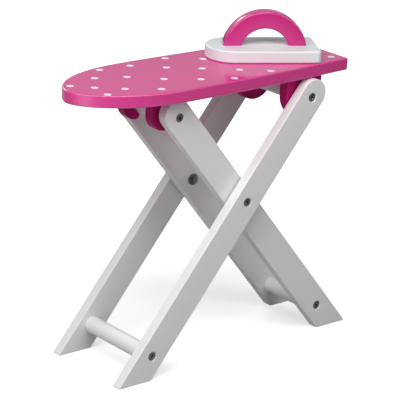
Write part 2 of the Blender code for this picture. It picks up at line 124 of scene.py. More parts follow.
class Graph:
    """Adds nodes to one node tree and joins them."""

    def __init__(self, tree: bpy.types.NodeTree) -> None:
        """Keep the tree that the nodes go into."""
        self.tree = tree

    def add(self, kind: str, feeds: dict | None = None, **settings: object) -> bpy.types.Node:
        """Add a node.

        Args:
            kind: The node's type.
            feeds: Values or output sockets for the node's inputs, by name or by index.
            settings: Properties of the node.

        Returns:
            The new node.
        """
        node = self.tree.nodes.new(kind)
        for name, value in settings.items():
            setattr(node, name, value)
        for name, value in (feeds or {}).items():
            target = node.inputs[name]
            if isinstance(value, bpy.types.NodeSocket):
                self.tree.links.new(value, target)
            else:
                target.default_value = value
        return node

    def math(self, operation: str, first: object, second: object = 0.0) -> bpy.types.NodeSocket:
        """A Math node's result."""
        return self.add("ShaderNodeMath", {0: first, 1: second}, operation=operation).outputs[0]

    def ramp(self, value: object, low: float, high: float) -> bpy.types.NodeSocket:
        """A value smoothed from 0 at low to 1 at high."""
        feeds = {"Value": value, "From Min": low, "From Max": high}
        return self.add("ShaderNodeMapRange", feeds, interpolation_type="SMOOTHSTEP").outputs[0]

    def blend(self, amount: object, first: object, second: object) -> bpy.types.NodeSocket:
        """A mix of two colours.

        Args:
            amount: Share of the second colour.
            first: A colour or a colour socket.
            second: A colour or a colour socket.

        Returns:
            The mixed colour.
        """
        node = self.add("ShaderNodeMix", {0: amount}, data_type="RGBA")
        for socket, value in ((node.inputs[6], first), (node.inputs[7], second)):
            if isinstance(value, bpy.types.NodeSocket):
                self.tree.links.new(value, socket)
            else:
                socket.default_value = value
        return node.outputs[2]

    def finish(self, shader: bpy.types.Node) -> None:
        """Join the last shader to the material's output."""
        self.add("ShaderNodeOutputMaterial", {0: shader.outputs[0]})

    def surface(self, colour: object, rough: object, relief: tuple, further: dict | None = None) -> None:
        """End a material with a Principled shader over a bump.

        Args:
            colour: The base colour.
            rough: The roughness.
            relief: The bump's height, strength and depth in metres.
            further: Values for the shader's other inputs.
        """
        height, strength, depth = relief
        bump = self.add("ShaderNodeBump", {"Strength": strength, "Distance": depth, "Height": height})
        feeds = {"Base Color": colour, "Roughness": rough, "Normal": bump.outputs[0], **(further or {})}
        self.finish(self.add("ShaderNodeBsdfPrincipled", feeds))


def group_tree(name: str, kind: str, inputs: dict, outputs: dict) -> tuple[Graph, dict, bpy.types.Node]:
    """Make a node group with named sockets.

    Args:
        name: The group's name.
        kind: ShaderNodeTree or GeometryNodeTree.
        inputs: Socket kinds and default values by input name.
        outputs: Socket kinds by output name.

    Returns:
        The graph, the group's inputs by name, and its output node.
    """
    tree = bpy.data.node_groups.new(name, kind)
    for label, (socket, value) in inputs.items():
        made = tree.interface.new_socket(name=label, in_out="INPUT", socket_type=f"NodeSocket{socket}")
        if value is not None:
            made.default_value = value
    for label, socket in outputs.items():
        tree.interface.new_socket(name=label, in_out="OUTPUT", socket_type=f"NodeSocket{socket}")
    graph = Graph(tree)
    entry = graph.add("NodeGroupInput")
    leave = graph.add("NodeGroupOutput")
    return graph, {label: entry.outputs[label] for label in inputs}, leave


def film_group() -> bpy.types.NodeTree:
    """Sprayed paint on wood: a fine ripple, raised grain along Z, and slow drifts of tone.

    Returns:
        A shader group with the outputs Height and Tone.
    """
    inputs = {
        "Place": ("Vector", None), "Ripple Scale": ("Float", 900.0), "Ripple": ("Float", 0.3),
        "Grain Scale": ("Float", 700.0), "Grain": ("Float", 0.5), "Seed": ("Float", 0.0),
    }
    graph, given, leave = group_tree(
        "sprayed_film", "ShaderNodeTree", inputs, {"Height": "Float", "Tone": "Float"}
    )
    shift = graph.add("ShaderNodeVectorMath", {0: given["Place"], 1: (0.37, 0.21, 0.53)}, operation="ADD")
    along = graph.add("ShaderNodeMapping", {"Vector": shift.outputs[0], "Scale": (1.0, 1.0, 0.035)})
    grain = graph.add(
        "ShaderNodeTexNoise",
        {"Vector": along.outputs[0], "W": given["Seed"], "Scale": given["Grain Scale"], "Detail": 4.0,
         "Roughness": 0.62, "Distortion": 0.15},
        noise_dimensions="4D",
    )
    ripple = graph.add(
        "ShaderNodeTexNoise",
        {"Vector": shift.outputs[0], "W": given["Seed"], "Scale": given["Ripple Scale"], "Detail": 2.0},
        noise_dimensions="4D",
    )
    drift = graph.add(
        "ShaderNodeTexNoise",
        {"Vector": shift.outputs[0], "W": given["Seed"], "Scale": 11.0, "Detail": 3.0, "Roughness": 0.55},
        noise_dimensions="4D",
    )
    raised = graph.ramp(grain.outputs[0], 0.36, 0.70)
    high = graph.math("MULTIPLY", raised, given["Grain"])
    low = graph.math("MULTIPLY", ripple.outputs[0], given["Ripple"])
    graph.tree.links.new(graph.math("ADD", high, low), leave.inputs["Height"])
    graph.tree.links.new(graph.ramp(drift.outputs[0], 0.30, 0.72), leave.inputs["Tone"])
    return graph.tree


def wear_group() -> bpy.types.NodeTree:
    """Rubbed rims, and sparse specks of dust and scuffs on the faces.

    Returns:
        A shader group with the outputs Wear, Specks and Scuffs.
    """
    inputs = {"Place": ("Vector", None), "Rim": ("Float", 0.0), "Seed": ("Float", 0.0)}
    graph, given, leave = group_tree(
        "rub_and_dust", "ShaderNodeTree", inputs, {"Wear": "Float", "Specks": "Float", "Scuffs": "Float"}
    )
    patch = graph.add(
        "ShaderNodeTexNoise",
        {"Vector": given["Place"], "W": given["Seed"], "Scale": 62.0, "Detail": 6.0, "Roughness": 0.72},
        noise_dimensions="4D",
    )
    rim = graph.math("MULTIPLY", given["Rim"], graph.ramp(patch.outputs[0], 0.46, 0.72))
    cells = graph.add(
        "ShaderNodeTexVoronoi", {"Vector": given["Place"], "Scale": 260.0}, voronoi_dimensions="3D"
    )
    pick = graph.add("ShaderNodeSeparateColor", {0: cells.outputs["Color"]})
    lone = graph.math("GREATER_THAN", pick.outputs[0], 0.93)
    dot = graph.math("SUBTRACT", 1.0, graph.ramp(cells.outputs["Distance"], 0.02, 0.075))
    stretched = graph.add("ShaderNodeMapping", {"Vector": given["Place"], "Rotation": (0.4, 0.9, 0.2),
                                                "Scale": (1.0, 0.06, 1.0)})
    lines = graph.add(
        "ShaderNodeTexNoise",
        {"Vector": stretched.outputs[0], "W": given["Seed"], "Scale": 420.0, "Detail": 2.0},
        noise_dimensions="4D",
    )
    scratched = graph.ramp(lines.outputs[0], 0.66, 0.78)
    scuff = graph.math("MULTIPLY", scratched, graph.ramp(patch.outputs[0], 0.5, 0.7))
    graph.tree.links.new(rim, leave.inputs["Wear"])
    graph.tree.links.new(graph.math("MULTIPLY", dot, lone), leave.inputs["Specks"])
    graph.tree.links.new(scuff, leave.inputs["Scuffs"])
    return graph.tree


@dataclass(frozen=True)
class ShaderKit:
    """The shader groups that the finishes share."""

    film: bpy.types.NodeTree
    wear: bpy.types.NodeTree

    @classmethod
    def build(cls) -> "ShaderKit":
        """Build each group once."""
        return cls(film=film_group(), wear=wear_group())


def blank_material(name: str, shown: Colour) -> tuple[bpy.types.Material, Graph, bpy.types.NodeSocket]:
    """Make a node material with no shader yet.

    Args:
        name: The material's name.
        shown: The plain colour that a viewport shows.

    Returns:
        The material, its graph, and the object coordinates that place its patterns.
    """
    made = bpy.data.materials.new(name)
    made.use_nodes = True
    made.node_tree.nodes.clear()
    made.diffuse_color = shown
    graph = Graph(made.node_tree)
    return made, graph, graph.add("ShaderNodeTexCoord").outputs["Object"]


@dataclass(frozen=True)
class Paint:
    """Sprayed paint on wood, glossy or satin."""

    name: str
    colour: Colour
    pale: Colour
    bare: Colour
    roughness: float
    turn: Point3 = (0.0, 0.0, 0.0)
    ripple: float = 0.3
    grain: float = 0.45
    bump: float = 0.25
    film_depth: float = 0.00012
    tone: float = 0.2
    wear: float = 0.25
    edge_build: float = 0.25
    # Share of the rims' paler band, a painted highlight along the rounded edges
    dust: float = 0.25
    rough_drift: float = 0.08
    scuff_rough: float = 0.12
    wall_rough: float = 0.0
    specular: float = 0.5
    index: float = 1.48
    seed: float = 0.0

    def material(self, kit: ShaderKit) -> bpy.types.Material:
        """Build the paint.

        Args:
            kit: The shared shader groups.

        Returns:
            A material whose grain runs along Z after the turn.
        """
        made, graph, where = blank_material(self.name, self.colour)
        turned = graph.add("ShaderNodeMapping", {"Vector": where, "Rotation": self.turn}).outputs[0]
        rim = graph.add("ShaderNodeAttribute", attribute_name=RIM_ATTRIBUTE).outputs["Fac"]
        wall = graph.add("ShaderNodeAttribute", attribute_name=WALL_ATTRIBUTE).outputs["Fac"]
        film = graph.add(
            "ShaderNodeGroup",
            {"Place": turned, "Ripple": self.ripple, "Grain": self.grain, "Seed": self.seed},
            node_tree=kit.film,
        )
        wear = graph.add(
            "ShaderNodeGroup", {"Place": turned, "Rim": rim, "Seed": self.seed}, node_tree=kit.wear
        )
        look: Colour | bpy.types.NodeSocket = self.colour
        # The rims' paler band is a painted highlight along the rounded edges; tone, wear and dust are the
        # paint's own
        for mask, share, over in (
            (film.outputs["Tone"], self.tone, self.pale),
            (rim, self.edge_build, self.pale),
            (wear.outputs["Wear"], self.wear, self.bare),
            (wear.outputs["Specks"], self.dust, self.pale),
        ):
            look = graph.blend(graph.math("MULTIPLY", mask, share), look, over)
        rough: float | bpy.types.NodeSocket = self.roughness - self.rough_drift / 2
        for mask, share in (
            (film.outputs["Tone"], self.rough_drift),
            (wear.outputs["Scuffs"], self.scuff_rough),
            (wall, self.wall_rough),
        ):
            rough = graph.math("ADD", rough, graph.math("MULTIPLY", mask, share))
        relief = (film.outputs["Height"], self.bump, self.film_depth)
        graph.surface(look, rough, relief, {"IOR": self.index, "Specular IOR Level": self.specular})
        return made


@dataclass(frozen=True)
class Ink:
    """Printed ink on the lacquer."""

    name: str
    colour: Colour
    thin: Colour
    thin_share: float = 0.45
    roughness: float = 0.22
    bump: float = 0.12
    film_depth: float = 0.00005

    def material(self) -> bpy.types.Material:
        """Build the ink.

        Returns:
            A material with the pink showing faintly where the ink is thin.
        """
        made, graph, where = blank_material(self.name, self.colour)
        cloud = graph.add("ShaderNodeTexNoise", {"Vector": where, "Scale": 520.0, "Detail": 3.0}).outputs[0]
        thin = graph.math("MULTIPLY", graph.ramp(cloud, 0.48, 0.75), self.thin_share)
        look = graph.blend(thin, self.colour, self.thin)
        graph.surface(look, self.roughness, (cloud, self.bump, self.film_depth))
        return made


@dataclass(frozen=True)
class Steel:
    """Turned steel with fine tool rings and a blotchy plating."""

    name: str
    colour: Colour
    dull: Colour
    roughness: float
    rough_spread: float = 0.14
    ring_pitch: float = 0.00016
    ring_share: float = 0.4
    bump: float = 0.22
    ring_depth: float = 0.00003

    def material(self) -> bpy.types.Material:
        """Build the steel.

        Returns:
            A material whose rings follow the radius stored on the piece.
        """
        made, graph, where = blank_material(self.name, self.colour)
        radius = graph.add("ShaderNodeAttribute", attribute_name=TURNED_ATTRIBUTE).outputs["Fac"]
        blotch = graph.add("ShaderNodeTexNoise", {"Vector": where, "Scale": 640.0, "Detail": 5.0}).outputs[0]
        rings = graph.math("SINE", graph.math("MULTIPLY", radius, 2 * pi / self.ring_pitch))
        height = graph.math("ADD", graph.math("MULTIPLY", rings, self.ring_share), blotch)
        rough = graph.math("ADD", self.roughness, graph.math("MULTIPLY", blotch, self.rough_spread))
        look = graph.blend(graph.ramp(blotch, 0.42, 0.66), self.colour, self.dull)
        graph.surface(look, rough, (height, self.bump, self.ring_depth), {"Metallic": 1.0})
        return made


@dataclass(frozen=True)
class BareWood:
    """Unpainted beech with short flecks along Z."""

    name: str
    light: Colour
    dark: Colour
    roughness: float = 0.6
    bump: float = 0.3
    fleck_depth: float = 0.0001

    def material(self) -> bpy.types.Material:
        """Build the wood.

        Returns:
            A material whose flecks run along Z.
        """
        made, graph, where = blank_material(self.name, self.light)
        along = graph.add("ShaderNodeMapping", {"Vector": where, "Scale": (1.0, 1.0, 0.08)}).outputs[0]
        flecks = graph.add(
            "ShaderNodeTexNoise", {"Vector": along, "Scale": 1500.0, "Detail": 5.0, "Roughness": 0.7}
        ).outputs[0]
        look = graph.blend(graph.ramp(flecks, 0.35, 0.68), self.light, self.dark)
        graph.surface(look, self.roughness, (flecks, self.bump, self.fleck_depth))
        return made


@dataclass(frozen=True)
class Moulded:
    """Moulded grey plastic with a faint spark-eroded texture."""

    name: str
    colour: Colour
    pale: Colour
    roughness: float = 0.5
    bump: float = 0.25
    pit_depth: float = 0.00004

    def material(self) -> bpy.types.Material:
        """Build the plastic.

        Returns:
            A material with fine pits and a slow drift of tone.
        """
        made, graph, where = blank_material(self.name, self.colour)
        pits = graph.add("ShaderNodeTexNoise", {"Vector": where, "Scale": 2600.0, "Detail": 2.0}).outputs[0]
        drift = graph.add("ShaderNodeTexNoise", {"Vector": where, "Scale": 120.0}).outputs[0]
        look = graph.blend(graph.ramp(drift, 0.3, 0.7), self.colour, self.pale)
        graph.surface(look, self.roughness, (pits, self.bump, self.pit_depth))
        return made


def arc(centre: Point, radius: float, start: float, end: float, steps: int) -> Outline:
    """Points of an arc, both ends included.

    Args:
        centre: The arc's centre.
        radius: Its radius.
        start: The angle that it starts at.
        end: The angle that it ends at.
        steps: How many chords it has.

    Returns:
        The points in order.
    """
    x, y = centre
    spots = [start + (end - start) * step / steps for step in range(steps + 1)]
    return [(x + radius * cos(angle), y + radius * sin(angle)) for angle in spots]


def pull_curve(start: Point, first: Point, second: Point, end: Point, steps: int) -> Outline:
    """Points of a cubic curve between start and end, without its first point.

    Args:
        start: Where the curve starts.
        first: What pulls its start.
        second: What pulls its end.
        end: Where the curve ends.
        steps: How many chords it has.

    Returns:
        The points in order.
    """
    points = []
    for step in range(1, steps + 1):
        t = step / steps
        s = 1 - t
        shares = ((s ** 3, start), (3 * s * s * t, first), (3 * s * t * t, second), (t ** 3, end))
        points.append((sum(w * p[0] for w, p in shares), sum(w * p[1] for w, p in shares)))
    return points


def filleted(corners: list[tuple[float, float, float]], quarter_steps: int = 10) -> Outline:
    """A closed outline from corners given as x, y and fillet radius.

    Args:
        corners: The corners in order; a radius of 0 keeps a corner sharp.
        quarter_steps: Chords in a quarter turn.

    Returns:
        The outline's points.
    """
    points: Outline = []
    count = len(corners)
    for index, (x, y, radius) in enumerate(corners):
        if radius == 0:
            points.append((x, y))
            continue
        here = Vector((x, y))
        before = (Vector(corners[index - 1][:2]) - here).normalized()
        after = (Vector(corners[(index + 1) % count][:2]) - here).normalized()
        half = before.angle(after) / 2
        centre = here + (before + after).normalized() * (radius / sin(half))
        first = here + before * (radius / tan(half)) - centre
        last = here + after * (radius / tan(half)) - centre
        start = atan2(first.y, first.x)
        sweep = atan2(first.x * last.y - first.y * last.x, first.dot(last))
        steps = max(3, round(quarter_steps * abs(sweep) / (pi / 2)))
        points.extend(arc((centre.x, centre.y), radius, start, start + sweep, steps))
    return points


def tidy_loop(points: Outline) -> Outline:
    """The outline without repeated points, running anticlockwise.

    Args:
        points: A closed outline.

    Returns:
        The points that are kept.
    """
    kept: Outline = []
    for point in points:
        if not kept or hypot(point[0] - kept[-1][0], point[1] - kept[-1][1]) > WELD:
            kept.append(point)
    if hypot(kept[0][0] - kept[-1][0], kept[0][1] - kept[-1][1]) <= WELD:
        kept.pop()
    turn = sum(a[0] * b[1] - b[0] * a[1] for a, b in zip(kept, kept[1:] + kept[:1]))
    return kept if turn > 0 else kept[::-1]


def pulled_in(outline: Outline, amount: float) -> Outline:
    """The outline with every point moved inwards along its mitre.

    Args:
        outline: A closed outline that runs anticlockwise.
        amount: How far its sides move.

    Returns:
        As many points as the outline has.
    """
    moved = []
    count = len(outline)
    for index, (x, y) in enumerate(outline):
        px, py = outline[index - 1]
        nx, ny = outline[(index + 1) % count]
        back = Vector((x - px, y - py)).normalized()
        on = Vector((nx - x, ny - y)).normalized()
        first = Vector((-back.y, back.x))
        second = Vector((-on.y, on.x))
        mitre = (first + second) / max(LEAST_MITRE, 1 + first.dot(second))
        moved.append((x + mitre.x * amount, y + mitre.y * amount))
    return moved


@dataclass
class Hole:
    """A round hole along a plate's Z, with an eased mouth at each end that leaves the plate."""

    x: float
    y: float
    low: float
    high: float
    radius: float
    ease_low: float = 0.0
    ease_high: float = 0.0

    def cutter(self, sides: int = 48) -> bpy.types.Mesh:
        """The closed form that is cut away.

        Args:
            sides: Sides of the round hole.

        Returns:
            A closed mesh that stands on the plate's own axes.
        """
        rings = [(self.radius, self.low + self.ease_low), (self.radius, self.high - self.ease_high)]
        if self.ease_low:
            rings.insert(0, (self.radius + 2 * self.ease_low, self.low - self.ease_low))
        if self.ease_high:
            rings.append((self.radius + 2 * self.ease_high, self.high + self.ease_high))
        built = bmesh.new()
        loops = []
        for radius, height in rings:
            loops.append([
                built.verts.new((self.x + radius * cos(2 * pi * k / sides),
                                 self.y + radius * sin(2 * pi * k / sides), height))
                for k in range(sides)
            ])
        for lower, upper in zip(loops, loops[1:]):
            for k in range(sides):
                built.faces.new((lower[k], lower[(k + 1) % sides], upper[(k + 1) % sides], upper[k]))
        built.faces.new(loops[0][::-1])
        built.faces.new(loops[-1])
        mesh = bpy.data.meshes.new("hole")
        built.to_mesh(mesh)
        built.free()
        return mesh


@dataclass
class Plate:
    """A flat board of even thickness with rolled rims, in its own X-Y plane and centred on Z."""

    name: str
    outline: Outline
    thickness: float
    rim: float
    support: float
    place: Matrix
    holes: list[Hole] = field(default_factory=list)
    rim_steps: int = 5
    face_rim: float = 0.25

    def rings(self) -> list[tuple[float, float, float, float]]:
        """List the rings of the plate from the top face to the bottom face.

        Returns:
            Inset, height, rim share and wall share of each ring.
        """
        half = self.thickness / 2
        upper = [(self.rim + self.support, half, 0.0, 0.0)]
        for step in range(self.rim_steps + 1):
            angle = pi / 2 * step / self.rim_steps
            rim = sin(2 * angle) if 0 < step < self.rim_steps else self.face_rim
            turned = step / self.rim_steps
            upper.append((self.rim * (1 - sin(angle)), half - self.rim * (1 - cos(angle)), rim, turned))
        upper.append((0.0, half - self.rim - self.support, 0.0, 1.0))
        return upper + [(inset, -height, rim, wall) for inset, height, rim, wall in reversed(upper)]

    def mesh(self) -> bpy.types.Mesh:
        """Build the closed plate with its rim and wall shares, before any hole.

        Returns:
            A closed mesh.
        """
        outline = tidy_loop(self.outline)
        built = bmesh.new()
        rims = built.verts.layers.float.new(RIM_ATTRIBUTE)
        walls = built.verts.layers.float.new(WALL_ATTRIBUTE)
        loops = []
        for inset, height, rim, wall in self.rings():
            loop = []
            for x, y in pulled_in(outline, inset):
                vert = built.verts.new((x, y, height))
                vert[rims] = rim
                vert[walls] = wall
                loop.append(vert)
            loops.append(loop)
        count = len(outline)
        built.faces.new(loops[0])
        built.faces.new(loops[-1][::-1])
        for upper, lower in zip(loops, loops[1:]):
            for k in range(count):
                after = (k + 1) % count
                built.faces.new((upper[k], lower[k], lower[after], upper[after]))
        mesh = bpy.data.meshes.new(self.name)
        built.to_mesh(mesh)
        built.free()
        return mesh

    def build(self) -> bpy.types.Object:
        """Build the plate, cut its holes and put it in its place.

        Returns:
            An object at the origin whose mesh is in place.
        """
        plate = new_piece(self.name, self.mesh())
        cutters = [new_piece(self.name + "_hole", hole.cutter()) for hole in self.holes]
        for cutter in cutters:
            boolean = plate.modifiers.new("hole", "BOOLEAN")
            boolean.object = cutter
            boolean.operation = "DIFFERENCE"
            boolean.solver = "EXACT"
        if cutters:
            plate.data = baked(plate)
            plate.modifiers.clear()
        for cutter in cutters:
            bpy.data.objects.remove(cutter, do_unlink=True)
        plate.data.transform(self.place)
        smooth(plate.data, PLATE_CREASE)
        return plate


def new_piece(name: str, mesh: bpy.types.Mesh) -> bpy.types.Object:
    """Add a mesh object at the origin.

    Args:
        name: The object's name.
        mesh: Its mesh.

    Returns:
        The new object.
    """
    item = bpy.data.objects.new(name, mesh)
    bpy.context.scene.collection.objects.link(item)
    return item


def baked(item: bpy.types.Object) -> bpy.types.Mesh:
    """The plain mesh that an object's modifiers give.

    Args:
        item: An object with modifiers.

    Returns:
        A new mesh with the object's name.
    """
    depsgraph = bpy.context.evaluated_depsgraph_get()
    mesh = bpy.data.meshes.new_from_object(item.evaluated_get(depsgraph))
    mesh.name = item.name
    return mesh


def smooth(mesh: bpy.types.Mesh, angle: float) -> None:
    """Smooth shading that keeps edges sharper than the angle.

    Args:
        mesh: The mesh.
        angle: The least turn of an edge that stays sharp.
    """
    for face in mesh.polygons:
        face.use_smooth = True
    mesh.set_sharp_from_angle(angle=angle)


def dress(item: bpy.types.Object, look: bpy.types.Material) -> None:
    """Give a piece one material."""
    item.data.materials.clear()
    item.data.materials.append(look)


def settle(item: bpy.types.Object, body: Body, nodes: list[str]) -> None:
    """Put a piece on its body in place of its nodes, and report it.

    Args:
        item: The piece.
        body: The body that it rides on.
        nodes: The nodes that it stands for.
    """
    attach(item, body.value)
    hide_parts(*nodes)
    log.info("%s rides on %s for %s", item.name, body.value, ", ".join(nodes))


def redress_node(name: str, look: bpy.types.Material) -> None:
    """Give a node that stays a better material.

    Args:
        name: The node.
        look: Its material.
    """
    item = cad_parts[name]
    if not item.material_slots:
        item.data.materials.append(look)
    for slot in item.material_slots:
        slot.material = look
    log.info("%s keeps its solid", name)


def spots_mesh(name: str, spots: list[Vector], facings: list[Vector]) -> bpy.types.Mesh:
    """Loose points with the way that each copy's Z looks.

    Args:
        name: The mesh's name.
        spots: Where each copy goes.
        facings: The direction of each copy's Z.

    Returns:
        A mesh of points with the attribute facing.
    """
    mesh = bpy.data.meshes.new(name)
    mesh.from_pydata([tuple(spot) for spot in spots], [], [])
    layer = mesh.attributes.new(FACING_ATTRIBUTE, "FLOAT_VECTOR", "POINT")
    for index, facing in enumerate(facings):
        layer.data[index].vector = facing
    return mesh


def smoothed(graph: Graph, geometry: bpy.types.NodeSocket, angle: float) -> bpy.types.NodeSocket:
    """Smooth shading inside a geometry tree, with edges sharper than the angle kept.

    Args:
        graph: The tree's graph.
        geometry: The geometry that is shaded.
        angle: The least turn of an edge that stays sharp.

    Returns:
        The shaded geometry.
    """
    soft = graph.add("GeometryNodeSetShadeSmooth", {"Geometry": geometry}, domain="FACE")
    bend = graph.add("GeometryNodeInputMeshEdgeAngle")
    steep = graph.math("GREATER_THAN", bend.outputs["Unsigned Angle"], angle)
    sharp = graph.add(
        "GeometryNodeSetShadeSmooth",
        {"Geometry": soft.outputs[0], "Selection": steep, "Shade Smooth": False},
        domain="EDGE",
    )
    return sharp.outputs[0]


def shifted(graph: Graph, geometry: object, axis: int, amount: object) -> bpy.types.NodeSocket:
    """A geometry moved along one axis; the axis is 0 for X, 1 for Y and 2 for Z."""
    offset = graph.add("ShaderNodeCombineXYZ", {axis: amount}).outputs[0]
    return graph.add("GeometryNodeTransform", {"Geometry": geometry, "Translation": offset}).outputs[0]


def end_tree(graph: Graph, geometry: object, material: object, leave: bpy.types.Node) -> None:
    """End a geometry tree with real geometry that carries its material.

    Args:
        graph: The tree's graph.
        geometry: The finished geometry.
        material: The material's socket.
        leave: The tree's output node.
    """
    real = graph.add("GeometryNodeRealizeInstances", {"Geometry": geometry}).outputs[0]
    looked = graph.add("GeometryNodeSetMaterial", {"Geometry": real, "Material": material})
    graph.tree.links.new(looked.outputs[0], leave.inputs["Geometry"])


def copies(graph: Graph, given: dict, piece: bpy.types.NodeSocket, leave: bpy.types.Node) -> None:
    """Put a piece on every point, its Z along the point's facing, and end the tree.

    Args:
        graph: The tree's graph.
        given: The tree's inputs; Points, Seed, Size Spread and Material are used.
        piece: The geometry that is copied.
        leave: The tree's output node.
    """
    facing = graph.add(
        "GeometryNodeInputNamedAttribute", {"Name": FACING_ATTRIBUTE}, data_type="FLOAT_VECTOR"
    )
    aimed = graph.add(
        "FunctionNodeAlignRotationToVector", {"Vector": facing.outputs[0]}, axis="Z", pivot_axis="AUTO"
    )
    turn = graph.add(
        "FunctionNodeRandomValue", {2: 0.0, 3: 2 * pi, "Seed": given["Seed"]}, data_type="FLOAT"
    )
    spin = graph.add(
        "FunctionNodeAxisAngleToRotation", {"Axis": (0.0, 0.0, 1.0), "Angle": turn.outputs[1]}
    )
    turned = graph.add(
        "FunctionNodeRotateRotation",
        {"Rotation": aimed.outputs[0], "Rotate By": spin.outputs[0]},
        rotation_space="LOCAL",
    )
    low = graph.math("SUBTRACT", 1.0, given["Size Spread"])
    size = graph.add("FunctionNodeRandomValue", {2: low, 3: 1.0, "Seed": given["Seed"]}, data_type="FLOAT")
    even = graph.add("ShaderNodeCombineXYZ", {0: size.outputs[1], 1: size.outputs[1], 2: 1.0})
    placed = graph.add(
        "GeometryNodeInstanceOnPoints",
        {"Points": given["Points"], "Instance": piece, "Rotation": turned.outputs[0],
         "Scale": even.outputs[0]},
    )
    end_tree(graph, placed.outputs[0], given["Material"], leave)


def eased_end(
    graph: Graph, mesh: object, end: object, radius: object, ease: object
) -> bpy.types.NodeSocket:
    """Draw one end of a round bar out in two shrinking steps, so that its rim is round.

    Args:
        graph: The tree's graph.
        mesh: The bar.
        end: The selection of its end faces.
        radius: The bar's radius.
        ease: How far the rim is eased.

    Returns:
        The bar with its eased end.
    """
    for rise, narrowing in EASE_STEPS:
        out = graph.add(
            "GeometryNodeExtrudeMesh",
            {"Mesh": mesh, "Selection": end, "Offset Scale": graph.math("MULTIPLY", ease, rise),
             "Individual": False},
        )
        shrink = graph.math("DIVIDE", graph.math("MULTIPLY", ease, narrowing), radius)
        pulled = graph.add(
            "GeometryNodeScaleElements",
            {"Geometry": out.outputs["Mesh"], "Selection": out.outputs["Top"],
             "Scale": graph.math("SUBTRACT", 1.0, shrink)},
        )
        mesh = pulled.outputs[0]
        end = out.outputs["Top"]
    return mesh


def fastener_tree() -> bpy.types.NodeTree:
    """A round head with a six-sided socket and a shank, on every point; the head sits on z = 0.

    Returns:
        The geometry tree.
    """
    inputs = {
        "Points": ("Geometry", None), "Head Radius": ("Float", 0.0058), "Head Height": ("Float", 0.004),
        "Rim Ease": ("Float", 0.0006), "Socket Radius": ("Float", 0.0029), "Socket Depth": ("Float", 0.0025),
        "Shank Radius": ("Float", 0.003), "Shank Length": ("Float", 0.01), "Sides": ("Int", 40),
        "Size Spread": ("Float", 0.0), "Seed": ("Int", 3), "Material": ("Material", None),
    }
    graph, given, leave = group_tree(
        "socket_fastener", "GeometryNodeTree", inputs, {"Geometry": "Geometry"}
    )
    drum_height = graph.math("SUBTRACT", given["Head Height"], given["Rim Ease"])
    drum = graph.add(
        "GeometryNodeMeshCylinder",
        {"Vertices": given["Sides"], "Radius": given["Head Radius"], "Depth": drum_height},
    )
    head = eased_end(
        graph, drum.outputs["Mesh"], drum.outputs["Top"], given["Head Radius"], given["Rim Ease"]
    )
    raised = shifted(graph, head, 2, graph.math("MULTIPLY", drum_height, 0.5))
    shank = graph.add(
        "GeometryNodeMeshCylinder",
        {"Vertices": given["Sides"], "Radius": given["Shank Radius"], "Depth": given["Shank Length"]},
    )
    sunk = graph.math("MULTIPLY", given["Shank Length"], -SHANK_SINK)
    whole = graph.add("GeometryNodeMeshBoolean", {1: raised}, operation="UNION", solver="EXACT")
    graph.tree.links.new(shifted(graph, shank.outputs[0], 2, sunk), whole.inputs[1])
    key = graph.add(
        "GeometryNodeMeshCylinder",
        {"Vertices": SOCKET_SIDES, "Radius": given["Socket Radius"],
         "Depth": graph.math("MULTIPLY", given["Socket Depth"], 2.0)},
    )
    flare = graph.math("MULTIPLY", given["Socket Radius"], SOCKET_FLARE)
    twice = graph.math("MULTIPLY", flare, 2.0)
    mouth = graph.add(
        "GeometryNodeMeshCone",
        {"Vertices": SOCKET_SIDES, "Radius Bottom": given["Socket Radius"],
         "Radius Top": graph.math("ADD", given["Socket Radius"], twice), "Depth": twice},
    )
    hollow = graph.add(
        "GeometryNodeMeshBoolean",
        {0: whole.outputs[0], 1: shifted(graph, key.outputs[0], 2, given["Head Height"])},
        operation="DIFFERENCE", solver="EXACT",
    )
    mouth_height = graph.math("SUBTRACT", given["Head Height"], flare)
    graph.tree.links.new(shifted(graph, mouth.outputs[0], 2, mouth_height), hollow.inputs[1])
    soft = smoothed(graph, hollow.outputs[0], TURNED_CREASE)
    spot = graph.add("GeometryNodeInputPosition")
    flat = graph.add("ShaderNodeVectorMath", {0: spot.outputs[0], 1: (1.0, 1.0, 0.0)}, operation="MULTIPLY")
    length = graph.add("ShaderNodeVectorMath", {0: flat.outputs[0]}, operation="LENGTH")
    marked = graph.add(
        "GeometryNodeStoreNamedAttribute",
        {"Geometry": soft, "Name": TURNED_ATTRIBUTE, "Value": length.outputs["Value"]},
        data_type="FLOAT", domain="POINT",
    )
    copies(graph, given, marked.outputs[0], leave)
    return graph.tree


def rod_tree() -> bpy.types.NodeTree:
    """A round rod with eased ends, centred on every point.

    Returns:
        The geometry tree.
    """
    inputs = {
        "Points": ("Geometry", None), "Radius": ("Float", 0.0125), "Length": ("Float", 0.1),
        "End Ease": ("Float", 0.0008), "Sides": ("Int", 64), "Steps": ("Int", 6),
        "Size Spread": ("Float", 0.0), "Seed": ("Int", 5), "Material": ("Material", None),
    }
    graph, given, leave = group_tree("eased_rod", "GeometryNodeTree", inputs, {"Geometry": "Geometry"})
    bar = graph.add(
        "GeometryNodeMeshCylinder",
        {"Vertices": given["Sides"], "Side Segments": given["Steps"], "Radius": given["Radius"],
         "Depth": graph.math("SUBTRACT", given["Length"], graph.math("MULTIPLY", given["End Ease"], 2.0))},
    )
    rod = bar.outputs["Mesh"]
    for end in ("Top", "Bottom"):
        rod = eased_end(graph, rod, bar.outputs[end], given["Radius"], given["End Ease"])
    copies(graph, given, smoothed(graph, rod, TURNED_CREASE), leave)
    return graph.tree


